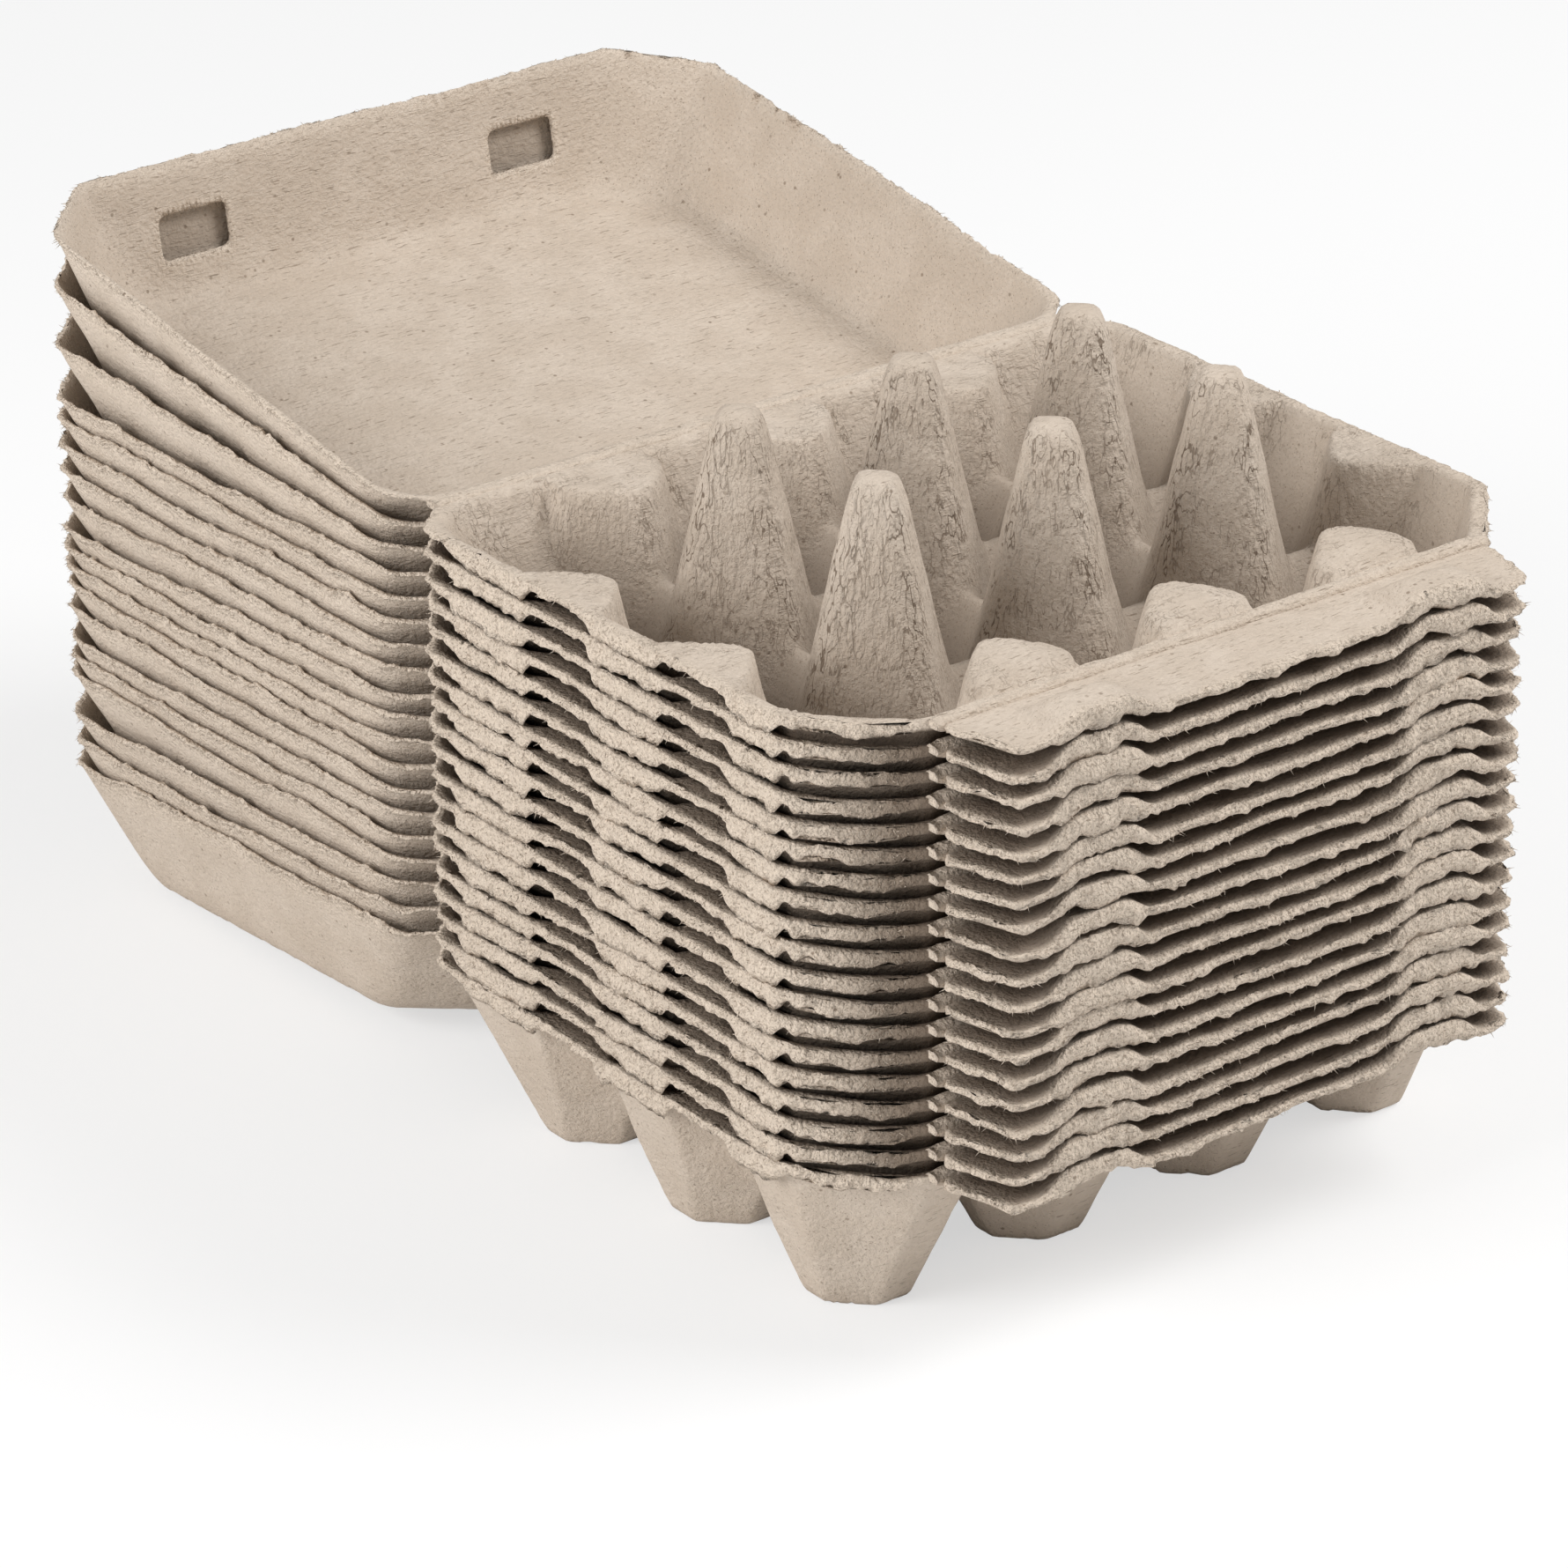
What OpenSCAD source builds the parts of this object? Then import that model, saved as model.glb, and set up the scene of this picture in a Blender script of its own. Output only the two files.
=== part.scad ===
// Stack of nested moulded-pulp egg cartons, lying open.
// Each carton is one moulding: a tray of egg cells, a lid on its back edge
// and a locking flap on its front edge. The topmost lid and flap can be folded.
// X runs along the hinge, +Y from the flap to the lid, +Z up. Sizes are in millimetres.

/* [Egg cells] */
// Spacing of the egg cells, both ways
cell = 48; // [44:1:54]
// Egg cells along the hinge
cells_x = 4; // [3:1:6]
// Egg cells from the flap to the hinge
cells_y = 3; // [2:1:4]
// Depth of the tray below its rim
tray_depth = 40; // [36:1:44]
// Depth of the saddles between cells below the rim
saddle_depth = 20; // [16:1:24]
// Half width of a saddle's top
saddle_half = 3; // [2:0.5:4]
// Spread of a saddle's side for each millimetre down
saddle_draft = 0.5; // [0.4:0.05:0.6]

/* [Posts] */
// Height of the posts above the rim
post_h = 30; // [24:1:36]
// Distance from a post's centre to its flats, at the rim
post_half = 11.4; // [10:0.2:12.6]
// Spread of the post's flats for each millimetre down
post_draft = 0.21; // [0.18:0.01:0.24]
// Spread of the post's flats at its foot
foot_draft = 0.4; // [0.3:0.02:0.46]
// Depth below the saddles' tops at which a post's foot starts to spread
foot_drop = 1; // [0.5:0.25:1.5]
// Distance from a post's centre to its corner flats, as a share of the main ones
post_corner = 1.16; // [1.1:0.02:1.3]
// Height of the domed tip
tip_h = 2.5; // [1.5:0.5:5]
// Distance from a post's centre to the flats at the very top
tip_half = 3.2; // [2:0.2:4.4]
// Height of the front wall's ribs above the rim
rib_h = 4.5; // [3:0.25:5]

/* [Walls] */
// Thickness of the rim, the flap and the post tips
rim_t = 2.2; // [1.6:0.1:2.8]
// Thickness of the feet's floors
floor_t = 2.2; // [1.6:0.1:2.8]
// Thickness of the tray's outer walls, measured level
wall = 1.5; // [1:0.1:1.7]
// Thickness of the posts' walls, measured level
post_wall = 1; // [0.8:0.1:1.4]
// Thickness of the saddles' walls, measured level
saddle_wall = 1.5; // [1:0.1:2]
// Spread of the end walls for each millimetre up
end_draft = 0.33; // [0.3:0.01:0.4]
// Spread of the front and back walls for each millimetre up
side_draft = 0.45; // [0.38:0.01:0.5]

/* [Rim] */
// Space from the outermost cell line to the end walls
end_margin = 1; // [0:0.5:3]
// Space from the outermost cell line to the front and back walls
side_margin = 5.5; // [4:0.5:7]
// Width of the rim outside the end walls
rim_w = 2.5; // [1.5:0.5:4]
// Cut of the rim's corners beside the flap
front_cut = 22; // [18:1:26]
// Cut of the rim's corners beside the hinge
hinge_cut = 9; // [6:1:14]
// Radius that rounds the outlines' corners
corner_r = 8; // [4:1:12]

/* [Hinge and crease] */
// Radius of the folded beads
bead_r = 1.2; // [1:0.1:1.5]
// Space from the back wall to the hinge line
hinge_out = 2.5; // [2:0.5:4]
// Space from the front wall to the flap's crease
crease_out = 1; // [0.5:0.5:3]
// Height of both fold lines above the rim
fold_h = 0.2; // [0.15:0.05:0.4]
// Clearance between a bead and what folds about it
fold_gap = 0.3; // [0.2:0.05:0.5]

/* [Lid] */
// Space between the post tips and the closed lid
head_room = 1; // [0.5:0.5:4]
// Thickness of the lid's panel
panel_t = 2; // [1.5:0.1:2.6]
// Thickness of the lid's walls, measured level
lid_wall = 1.3; // [1:0.1:1.5]
// Spread of the lid's walls for each millimetre up
lid_draft = 0.36; // [0.32:0.02:0.44]
// Width of the lip around the lid's mouth
lid_lip = 1.2; // [0.8:0.2:2.5]
// Room for the folded flap inside the lid's front wall
flap_room = 3.5; // [3:0.5:5]
// Cut of the corners at the lid's mouth, away from the hinge
lid_cut = 19; // [14:1:21]
// Cut of the panel's corners
panel_cut = 20; // [14:1:26]

/* [Latches] */
// Width of a latch window
window_w = 20; // [16:1:24]
// Height of a latch window
window_h = 10.5; // [8:0.5:12]
// Distance from the lid's mouth to the middle of a window
window_z = 17; // [14:0.5:19]
// Radius of a window's corners
window_r = 2; // [1:0.5:4]
// Width of the flap, from its crease
flap_w = 20.5; // [20:0.5:24]
// Narrowing of each end of the flap at its free edge
flap_taper = 7; // [6:1:12]
// Distance from the crease to the foot of a knob
knob_y = 7; // [6.5:0.25:9]
// Half length of a knob at its foot
knob_half = 13; // [10:0.5:14]
// Height of a knob above the flap
knob_h = 4.5; // [3:0.25:5]
// Narrowing of a knob's sides for each millimetre up
knob_draft = 1; // [0.8:0.1:1.2]

/* [Stack] */
// Least clearance between nested walls
nest_gap = 0.23; // [0.15:0.01:0.4]
// Clearance between the lowest lid and the ground
ground_gap = 0.05; // [0:0.05:0.5]

/* [Hidden] */
// How much further each lid is raised than the lowest one, in degrees, from the bottom up
lid_fan = [0, 0, 0.3, 2.4, 1.9, 1.4, 2.1, 2.3, 1.8, 1.3, 0.8, 1.9, 2.1, 2.5, 2.8, 2.6, 5.4, 9.2, 11.8];
top = len(lid_fan) - 1;
pulp = [0.72, 0.65, 0.56];
// How far a cut runs past the face that it opens
over = 1;
// Sides of the pressed beads and of the round ones that a fold turns about
bead_sides = 8;
round_sides = 48;

// Tray outline at the rim
half_x = cells_x * cell / 2 + end_margin;
half_y = cells_y * cell / 2 + side_margin;
hinge_y = half_y + hinge_out;
crease_y = -half_y - crease_out;
rim_x = half_x + rim_w;
hinge_half = rim_x - hinge_cut;
flap_half = rim_x - front_cut;

// Heights in the posts' profiles: the shoulder below the tip, the top of a foot, the top of a rib's hollow
// and the lowest edge
shoulder = post_h - tip_h;
foot_top = -saddle_depth - foot_drop;
rib_hollow = -rim_t - over / 2;
low = -tray_depth - over;

// Corner walls, measured along the diagonals: at the rim in front and behind, and at the feet
corner_front = (half_x + half_y - front_cut) / sqrt(2);
corner_back = (half_x + half_y - hinge_cut) / sqrt(2);
corner_foot = (cells_x + cells_y) / 2 * cell / sqrt(2) - post_at(-tray_depth);
corner_draft = [corner_front - corner_foot, corner_back - corner_foot] / tray_depth;

// Lid, measured from the hinge line
lid_depth = post_h + head_room + panel_t;
lid_near = bead_r + fold_gap;
lid_far = hinge_y - crease_y + flap_room + lid_wall;
lip_far = lid_far + lid_lip;
lid_mid = (lid_near + lid_far) / 2;
lid_half = (lid_far - lid_near) / 2;
lid_taper = lid_draft * lid_depth;
lid_corner_near = (half_x + lid_half - hinge_cut) / sqrt(2);
lid_corner_far = (half_x + lid_half - lid_cut) / sqrt(2);
panel_corner = (half_x + lid_half - 2 * lid_taper - panel_cut) / sqrt(2);
lid_corner_draft = [lid_corner_near - panel_corner, lid_corner_far - panel_corner] / lid_depth;

// Latches, in line with the outermost posts
latch_x = (cells_x / 2 - 1) * cell;

// Steepest drop from one lid to the next, and the rise from one carton to the next
fan_drop = max([for (i = [1:top]) lid_fan[i - 1] - lid_fan[i]]);
nest_pitch = max(
    rise(post_wall, min(post_draft, foot_draft)),
    rise(saddle_wall, saddle_draft),
    rise(wall, min(end_draft, side_draft, corner_draft[0])),
    rise(lid_wall, lid_draft) + lid_far * sin(fan_drop),
    rise(max(rim_t, floor_t, panel_t), 1)
);

// The lowest lid hangs until the far edge of its panel meets the ground
panel_far = lid_far - lid_taper;
panel_drop = lid_depth + fold_h;
lowest_tilt = atan2(panel_drop, panel_far)
    - asin((tray_depth + fold_h - ground_gap) / norm([panel_far, panel_drop]));

// Middle of the stack from front to back
stack_back = max([for (i = [0:top]) for (z = [fold_h, fold_h + rim_t])
    hinge_y + lip_far * cos(lid_tilt(i)) + z * sin(lid_tilt(i))]);
stack_mid = (stack_back + crease_y - flap_w) / 2;

function carton_name(i) = str("carton_", i < 9 ? "0" : "", i + 1);

function lid_tilt(i) = lowest_tilt + lid_fan[i];

// Rise that frees a nested wall of the given level thickness and draft
function rise(thickness, draft) = (thickness + nest_gap) / draft;

// Place of grid line i among the given number of cells
function grid(i, cells) = (i - cells / 2) * cell;

function post_centres() = [for (i = [1:cells_x - 1]) for (j = [1:cells_y - 1])
    [grid(i, cells_x), grid(j, cells_y)]];

function rib_centres() = concat(
    [for (i = [0, cells_x]) for (j = [1:cells_y - 1]) [grid(i, cells_x), grid(j, cells_y)]],
    [for (i = [1:cells_x - 1]) for (j = [0, cells_y]) [grid(i, cells_x), grid(j, cells_y)]]
);

// Distance from a post's centre to its flats at height z
function post_at(z) = post_half - post_draft * max(z, foot_top) + foot_draft * max(0, foot_top - z);

// Half width of a saddle at height z
function saddle_at(z) = saddle_half - saddle_draft * (z + saddle_depth);

// Half profiles of the tray's upper face, as [half width, height] from the bottom up
function foot_side(inset) = [for (z = [low, foot_top]) [post_at(z) - inset, z]];
function post_side() = concat(foot_side(0), [[post_at(shoulder), shoulder], [tip_half, post_h]]);
function rib_side(z_hi, inset) = concat(foot_side(inset), [[post_at(z_hi) - inset, z_hi]]);
function saddle_side() = [for (z = [low, -saddle_depth]) [saddle_at(z), z]];

// Half profiles of the hollows below it
function post_hollow() = concat(foot_side(post_wall), [
    [post_at(shoulder - post_wall) - post_wall, shoulder - post_wall],
    [tip_half, post_h - rim_t]
]);
function saddle_hollow() = [for (z = [low, -saddle_depth - floor_t]) [saddle_at(z) - saddle_wall, z]];

// A half profile together with its mirror image
function mirrored(side) = concat(side, [for (i = [len(side) - 1:-1:0]) [-side[i][0], side[i][1]]]);

// Four-sided profile between two heights, from its reach at z = 0 and its spread for each millimetre up
function drafted(left, right, left_draft, right_draft, z_lo, z_hi) = [
    [-left - left_draft * z_lo, z_lo],
    [right + right_draft * z_lo, z_lo],
    [right + right_draft * z_hi, z_hi],
    [-left - left_draft * z_hi, z_hi]
];

function drafted_evenly(half, draft, z_lo, z_hi) = drafted(half, half, draft, draft, z_lo, z_hi);

// Prism along X with its profile in Y and Z
module bar_x(profile, length) {
    rotate([90, 0, 90]) linear_extrude(length, center = true) polygon(profile);
}

// Prism along Y with its profile in X and Z
module bar_y(profile, length) {
    rotate([90, 0, 0]) linear_extrude(length, center = true) polygon(profile);
}

// Block with drafted sides and corners, sized at z = 0; each corner pair is given in front, then behind
module trough(half, draft, corner, corner_drafts, inset, z_lo, z_hi) {
    span = 4 * max(half);
    front = corner[0] - inset;
    back = corner[1] - inset;
    intersection() {
        bar_y(drafted_evenly(half[0] - inset, draft[0], z_lo, z_hi), span);
        bar_x(drafted_evenly(half[1] - inset, draft[1], z_lo, z_hi), span);
        rotate([0, 0, 45])
            bar_y(drafted(front, back, corner_drafts[0], corner_drafts[1], z_lo, z_hi), span);
        rotate([0, 0, -45])
            bar_y(drafted(back, front, corner_drafts[1], corner_drafts[0], z_lo, z_hi), span);
    }
}

// Four-sided taper along Z, square to X and Y
module taper(side) {
    span = 4 * side[0][0];
    intersection() {
        bar_x(mirrored(side), span);
        bar_y(mirrored(side), span);
    }
}

// Rib in a wall: a taper with its flats towards the cells
module rib(side) {
    rotate([0, 0, 45]) taper(side);
}

// Post between four cells: like a rib, with its corners blunted by straight flats
module post(side, inset) {
    tip = side[len(side) - 1];
    intersection() {
        rib(side);
        taper([for (z = [low, tip[1]]) [(post_at(z) - inset) * post_corner, z]]);
    }
}

module posts(side, inset) {
    for (p = post_centres()) translate(p) post(side, inset);
}

// Ribs of the front wall, which rise above the rim and lean back from the crease
module front_ribs(z_lo, z_hi, inset, front_inset) {
    intersection() {
        for (i = [1:cells_x - 1]) translate([grid(i, cells_x), grid(0, cells_y), 0])
            rib(rib_side(z_hi, inset));
        bar_x(drafted(half_y - crease_out - front_inset, 0, -end_draft, 0, z_lo, z_hi), 2 * half_x);
    }
}

// Posts, wall ribs and saddles together, from their half profiles and the inset of the posts' flats
module lattice(posts_side, inset, ribs_side, saddles_side) {
    union() {
        posts(posts_side, inset);
        for (p = rib_centres()) translate(p) rib(ribs_side);
        for (j = [1:cells_y - 1]) translate([0, grid(j, cells_y), 0])
            bar_x(mirrored(saddles_side), 2 * half_x + 2 * over);
        for (i = [1:cells_x - 1]) translate([grid(i, cells_x), 0, 0])
            bar_y(mirrored(saddles_side), 2 * half_y + 2 * over);
    }
}

module tray_block(inset, z_lo, z_hi) {
    trough([half_x, half_y], [end_draft, side_draft], [corner_front, corner_back], corner_draft,
        inset, z_lo, z_hi);
}

// Rounds the corners of an outline
module rounded(r) {
    offset(r = r, $fn = 16) offset(delta = -r) children();
}

// Plate of rim thickness whose upper face is at rim height
module plate() {
    translate([0, 0, -rim_t]) linear_extrude(rim_t) children();
}

module tray_rim() {
    plate() rounded(corner_r) polygon([
        [-rim_x, hinge_y - hinge_cut], [-rim_x, crease_y + front_cut],
        [-flap_half, crease_y], [flap_half, crease_y],
        [rim_x, crease_y + front_cut], [rim_x, hinge_y - hinge_cut],
        [hinge_half, hinge_y], [-hinge_half, hinge_y]
    ]);
}

module tray() {
    difference() {
        union() {
            tray_block(0, -tray_depth, 0);
            tray_rim();
            intersection() {
                union() {
                    posts(post_side(), 0);
                    front_ribs(-rim_t / 2, rib_h, 0, 0);
                }
                translate([-half_x, -half_y, -tray_depth])
                    cube([2 * half_x, 2 * half_y, tray_depth + post_h]);
            }
        }
        lattice(post_hollow(), post_wall, rib_side(rib_hollow, post_wall), saddle_hollow());
        front_ribs(low, rib_h - rim_t, post_wall, wall);
        difference() {
            tray_block(wall, floor_t - tray_depth, over);
            lattice(post_side(), 0, rib_side(over, 0), saddle_side());
        }
    }
}

// Folded bead along X, centred on its fold line
module bead(half_length, sides) {
    rotate([0, 90, 0]) cylinder(h = 2 * half_length, r = bead_r, center = true, $fn = sides);
}

module lid_block(inset, z_lo, z_hi) {
    translate([0, lid_mid, 0])
        trough([half_x, lid_half], [lid_draft, lid_draft], [lid_corner_near, lid_corner_far],
            lid_corner_draft, inset, z_lo, z_hi);
}

// Lip around the lid's mouth, from the given distance to the hinge line
module lid_rim(start) {
    plate() intersection() {
        rounded(corner_r) polygon([
            [-rim_x, hinge_cut], [-hinge_half, 0], [hinge_half, 0], [rim_x, hinge_cut],
            [rim_x, lip_far - lid_cut], [rim_x - lid_cut, lip_far],
            [lid_cut - rim_x, lip_far], [-rim_x, lip_far - lid_cut]
        ]);
        translate([-rim_x, start]) square([2 * rim_x, lip_far]);
    }
}

// Puts its children at both latches
module at_latches() {
    for (side = [-1, 1]) translate([side * latch_x, 0, 0]) children();
}

// Lid with its mouth up, measured from the hinge line at rim height
module lid(start) {
    difference() {
        union() {
            lid_block(0, -lid_depth, 0);
            lid_rim(start);
        }
        lid_block(lid_wall, panel_t - lid_depth, over);
        at_latches() translate([0, lid_far, -window_z]) rotate([90, 0, 0])
            linear_extrude(2 * lid_taper, center = true)
                rounded(window_r) square([window_w, window_h], center = true);
    }
}

// Latch knob: a tapered block on the flap that is open at the free edge
module knob(z_lo) {
    span = flap_w + over;
    intersection() {
        bar_y(drafted_evenly(knob_half, -knob_draft, z_lo, knob_h), 2 * span);
        bar_x(drafted(span, -knob_y, 0, -knob_draft, z_lo, knob_h), 4 * knob_half);
    }
}

// Locking flap with its two hollow knobs, measured from the crease at rim height
module flap(start) {
    difference() {
        intersection() {
            union() {
                translate([-flap_half, -flap_w, -rim_t]) cube([2 * flap_half, flap_w, rim_t]);
                at_latches() knob(-rim_t / 2);
            }
            translate([0, 0, -rim_t - over]) linear_extrude(rim_t + knob_h + 2 * over) intersection() {
                rounded(corner_r / 2) polygon([
                    [-flap_half, 0], [flap_taper - flap_half, -flap_w],
                    [flap_half - flap_taper, -flap_w], [flap_half, 0]
                ]);
                translate([-flap_half, -flap_w]) square([2 * flap_half, flap_w - start]);
            }
        }
        at_latches() translate([0, 0, -rim_t]) knob(-over);
    }
}

// Places its children in carton i, with the origin at the middle of the rim
module in_carton(i) {
    translate([0, -stack_mid, tray_depth + i * nest_pitch]) children();
}

// Tray with the beads along its two folds
module beaded_tray(sides) {
    tray();
    translate([0, hinge_y, fold_h]) bead(hinge_half, sides);
    translate([0, crease_y, fold_h]) bead(flap_half, sides);
}

// Lid of carton i, raised about the hinge line
module raised_lid(i, start) {
    translate([0, hinge_y, fold_h]) rotate([lid_tilt(i), 0, 0]) translate([0, 0, -fold_h]) lid(start);
}

// One whole carton of the stack
module carton(i) {
    color(pulp) in_carton(i) union() {
        beaded_tray(bead_sides);
        raised_lid(i, 0);
        translate([0, crease_y, 0]) flap(0);
    }
}

module top_tray() {
    color(pulp) in_carton(top) beaded_tray(round_sides);
}

module top_lid() {
    color(pulp) in_carton(top) raised_lid(top, lid_near);
}

module top_flap() {
    color(pulp) in_carton(top) translate([0, crease_y, 0]) flap(bead_r + fold_gap);
}

for (i = [0:top - 1]) carton(i);
top_tray();
top_lid();
top_flap();
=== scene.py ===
"""Gives the stack of nested egg cartons its looks: moulded pulp with torn edges, on a pale floor.

Shapes are worked out in millimetres in the frame of one carton, whose origin is the middle of
the tray's rim, and are placed in the row frame in metres.
"""

import logging
import math
from dataclasses import dataclass, field, replace
from enum import Enum, IntEnum
from itertools import product
from typing import Callable, Sequence

import bpy
import numpy as np
from mathutils import Matrix, Vector
from mathutils.geometry import delaunay_2d_cdt


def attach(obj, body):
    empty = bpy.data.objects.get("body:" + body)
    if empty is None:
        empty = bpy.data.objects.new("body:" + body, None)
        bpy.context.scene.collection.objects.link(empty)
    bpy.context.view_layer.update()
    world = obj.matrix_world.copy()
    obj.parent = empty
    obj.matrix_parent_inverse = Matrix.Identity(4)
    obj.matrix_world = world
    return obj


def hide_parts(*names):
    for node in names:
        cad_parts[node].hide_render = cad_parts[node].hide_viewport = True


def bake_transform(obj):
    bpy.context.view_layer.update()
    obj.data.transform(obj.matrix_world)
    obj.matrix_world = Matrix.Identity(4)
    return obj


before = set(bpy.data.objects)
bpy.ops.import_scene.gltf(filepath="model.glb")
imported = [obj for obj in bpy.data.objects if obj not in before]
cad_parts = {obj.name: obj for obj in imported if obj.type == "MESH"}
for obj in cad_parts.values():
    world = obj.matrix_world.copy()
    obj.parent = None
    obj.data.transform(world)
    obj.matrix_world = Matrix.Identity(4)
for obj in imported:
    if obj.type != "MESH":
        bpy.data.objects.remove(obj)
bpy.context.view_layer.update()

LOG = logging.getLogger("cartons")
MM = 0.001
ROOT_2 = math.sqrt(2)
HELD = 0.5
Array = np.ndarray
Move = Callable[[Array], Array]
Pair = tuple[float, float]
Triple = tuple[float, float, float]
Tint = tuple[int, int, int]
Socket = bpy.types.NodeSocket


def srgb(red: int, green: int, blue: int) -> tuple[float, float, float, float]:
    """Linear colour for a colour as it is seen, given from 0 to 255."""
    linear = [c / 12.92 if c <= 0.04045 else ((c + 0.055) / 1.055) ** 2.4
              for c in (red / 255, green / 255, blue / 255)]
    return (*linear, 1.0)


def smooth_max(a: Array | float, b: Array | float, blend: float) -> Array:
    """Higher of two heights, with the valley between them filled over the given height."""
    share = np.clip(0.5 + 0.5 * (a - b) / blend, 0, 1)
    return b * (1 - share) + a * share + blend * share * (1 - share)


def smooth_min(a: Array | float, b: Array | float, blend: float) -> Array:
    """Lower of two heights, with the edge between them rounded over the given height."""
    return -smooth_max(-a, -b, blend)


def ramp(value: Array, low: float, high: float) -> Array:
    """Smooth step from 0 at the low value to 1 at the high one."""
    share = np.clip((value - low) / (high - low), 0, 1)
    return share * share * (3 - 2 * share)


def unit(vectors: Array) -> Array:
    """Rows of vectors at length 1."""
    return vectors / np.linalg.norm(vectors, axis=1)[:, None]


def ring_edges(first: int, count: int) -> list[tuple[int, int]]:
    """Pairs of neighbours in a closed ring of indices."""
    return [(first + i, first + (i + 1) % count) for i in range(count)]


def loop_normals(loop: Array) -> Array:
    """Outward directions at the points of an anticlockwise loop."""
    along = np.roll(loop, -1, 0) - np.roll(loop, 1, 0)
    return unit(np.c_[along[:, 1], -along[:, 0]])


class Noise(Enum):
    """Independent noises of one moulding: number, size of a bump in millimetres and weight.

    The waves' sizes are shares of an edge's wave length.
    """

    WRINKLE_X_FINE = 1, 4.0, 0.6
    WRINKLE_X = 2, 11.0, 1.0
    WRINKLE_Y_FINE = 3, 4.0, 0.6
    WRINKLE_Y = 4, 11.0, 1.0
    WRINKLE_Z = 5, 6.0, 0.3
    FUZZ_FINE = 6, 1.2, 0.45
    FUZZ = 7, 3.6, 0.6
    SWAY = 8, 28.0, 1.0
    SWELL = 9, 6.0, 0.7
    WAVE = 10, 1.0, 1.0
    WAVE_FINE = 11, 1 / 3, 0.5
    TEAR_FINE = 12, 1.2, 0.6
    TEAR = 7, 3.6, 0.55
    LAYER = 14, 2.2, 0.1
    JAG_FINE = 15, 1.6, 1.0
    JAG = 16, 4.2, 1.0
    HANG = 17, 9.0, 0.5
    ROUGH = 18, 2.4, 1.0
    FOLD_SIDE = 20, 5.0, 0.22
    FOLD_RISE = 21, 6.0, 0.22
    FOLD_FINE = 22, 2.0, 0.1


@dataclass(frozen=True)
class Grain:
    """Smooth seeded noise in space."""

    APART = 0.37

    seed: int

    def at(self, points: Array, noise: Noise, times: float = 1.0) -> Array:
        """Noise between plus and minus its weight.

        Args:
            points: Places in millimetres, one row each.
            noise: Picks one of the independent noises.
            times: Stretches the noise.

        Returns:
            One value for each place.
        """
        channel, size, strength = noise.value
        scaled = points / (size * times) + self.APART * channel
        cells = np.floor(scaled).astype(np.int64)
        part = scaled - cells
        part = part * part * (3 - 2 * part)
        total = np.zeros(len(points))
        for corner in product((0, 1), repeat=3):
            weight = np.prod(np.where(np.array(corner) == 1, part, 1 - part), axis=1)
            total += weight * self._lattice(cells + np.array(corner), channel)
        return strength * total

    def _lattice(self, cells: Array, channel: int) -> Array:
        """Fixed random value from -1 to 1 at each lattice point."""
        mixed = (cells[:, 0] * 374761393 + cells[:, 1] * 668265263 + cells[:, 2] * 1440662683
                 + (self.seed * 31 + channel) * 1274126177)
        mixed = (mixed ^ (mixed >> 13)) * 1274126177
        mixed = mixed ^ (mixed >> 16)
        return (mixed & 0xFFFF) / 32767.5 - 1


@dataclass(frozen=True)
class Outline:
    """Convex outline with rounded corners, anticlockwise seen from above."""

    ARC_POINTS = 9
    CORNER_SHARE = 0.45
    LEAST_POINTS = 8

    corners: tuple[Pair, ...]
    radius: float
    squeeze: float = 1.0

    def loop(self, step: float) -> Array:
        """Points about one step apart round the outline, measured before the squeeze along Y."""
        path: list[Array] = []
        count = len(self.corners)
        for i in range(count):
            here = np.array(self.corners[i])
            before = np.array(self.corners[i - 1]) - here
            after = np.array(self.corners[(i + 1) % count]) - here
            room = self.CORNER_SHARE * min(np.linalg.norm(before), np.linalg.norm(after))
            before, after = before / np.linalg.norm(before), after / np.linalg.norm(after)
            half = math.acos(np.clip(before @ after, -1, 1)) / 2
            reach = min(self.radius / math.tan(half), room)
            radius = reach * math.tan(half)
            middle = (before + after) / np.linalg.norm(before + after)
            centre = here + middle * radius / math.sin(half)
            first, last = here + before * reach - centre, here + after * reach - centre
            start = math.atan2(first[1], first[0])
            turn = (math.atan2(last[1], last[0]) - start + math.pi) % (2 * math.pi) - math.pi
            for share in np.linspace(0, 1, self.ARC_POINTS):
                angle = start + turn * share
                path.append(centre + radius * np.array([math.cos(angle), math.sin(angle)]))
        closed = np.array(path + path[:1])
        lengths = np.r_[0, np.cumsum(np.linalg.norm(np.diff(closed, axis=0), axis=1))]
        points = max(self.LEAST_POINTS, round(lengths[-1] / step))
        at = np.linspace(0, lengths[-1], points, endpoint=False)
        return np.c_[np.interp(at, lengths, closed[:, 0]),
                     np.interp(at, lengths, closed[:, 1]) * self.squeeze]

    def inside(self, points: Array) -> Array:
        """Distance from each point to the nearest straight side, positive inside."""
        points = points / [1, self.squeeze]
        nearest = np.full(len(points), np.inf)
        for start, end in zip(self.corners, self.corners[1:] + self.corners[:1]):
            along = np.array(end) - np.array(start)
            along = along / np.linalg.norm(along)
            nearest = np.minimum(nearest, (points - start) @ np.array([-along[1], along[0]]))
        return nearest


@dataclass(frozen=True)
class Fill:
    """Spacing of a plan's inner points where a test holds."""

    step: float
    test: Callable[[Array], Array] | None = None


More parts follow.
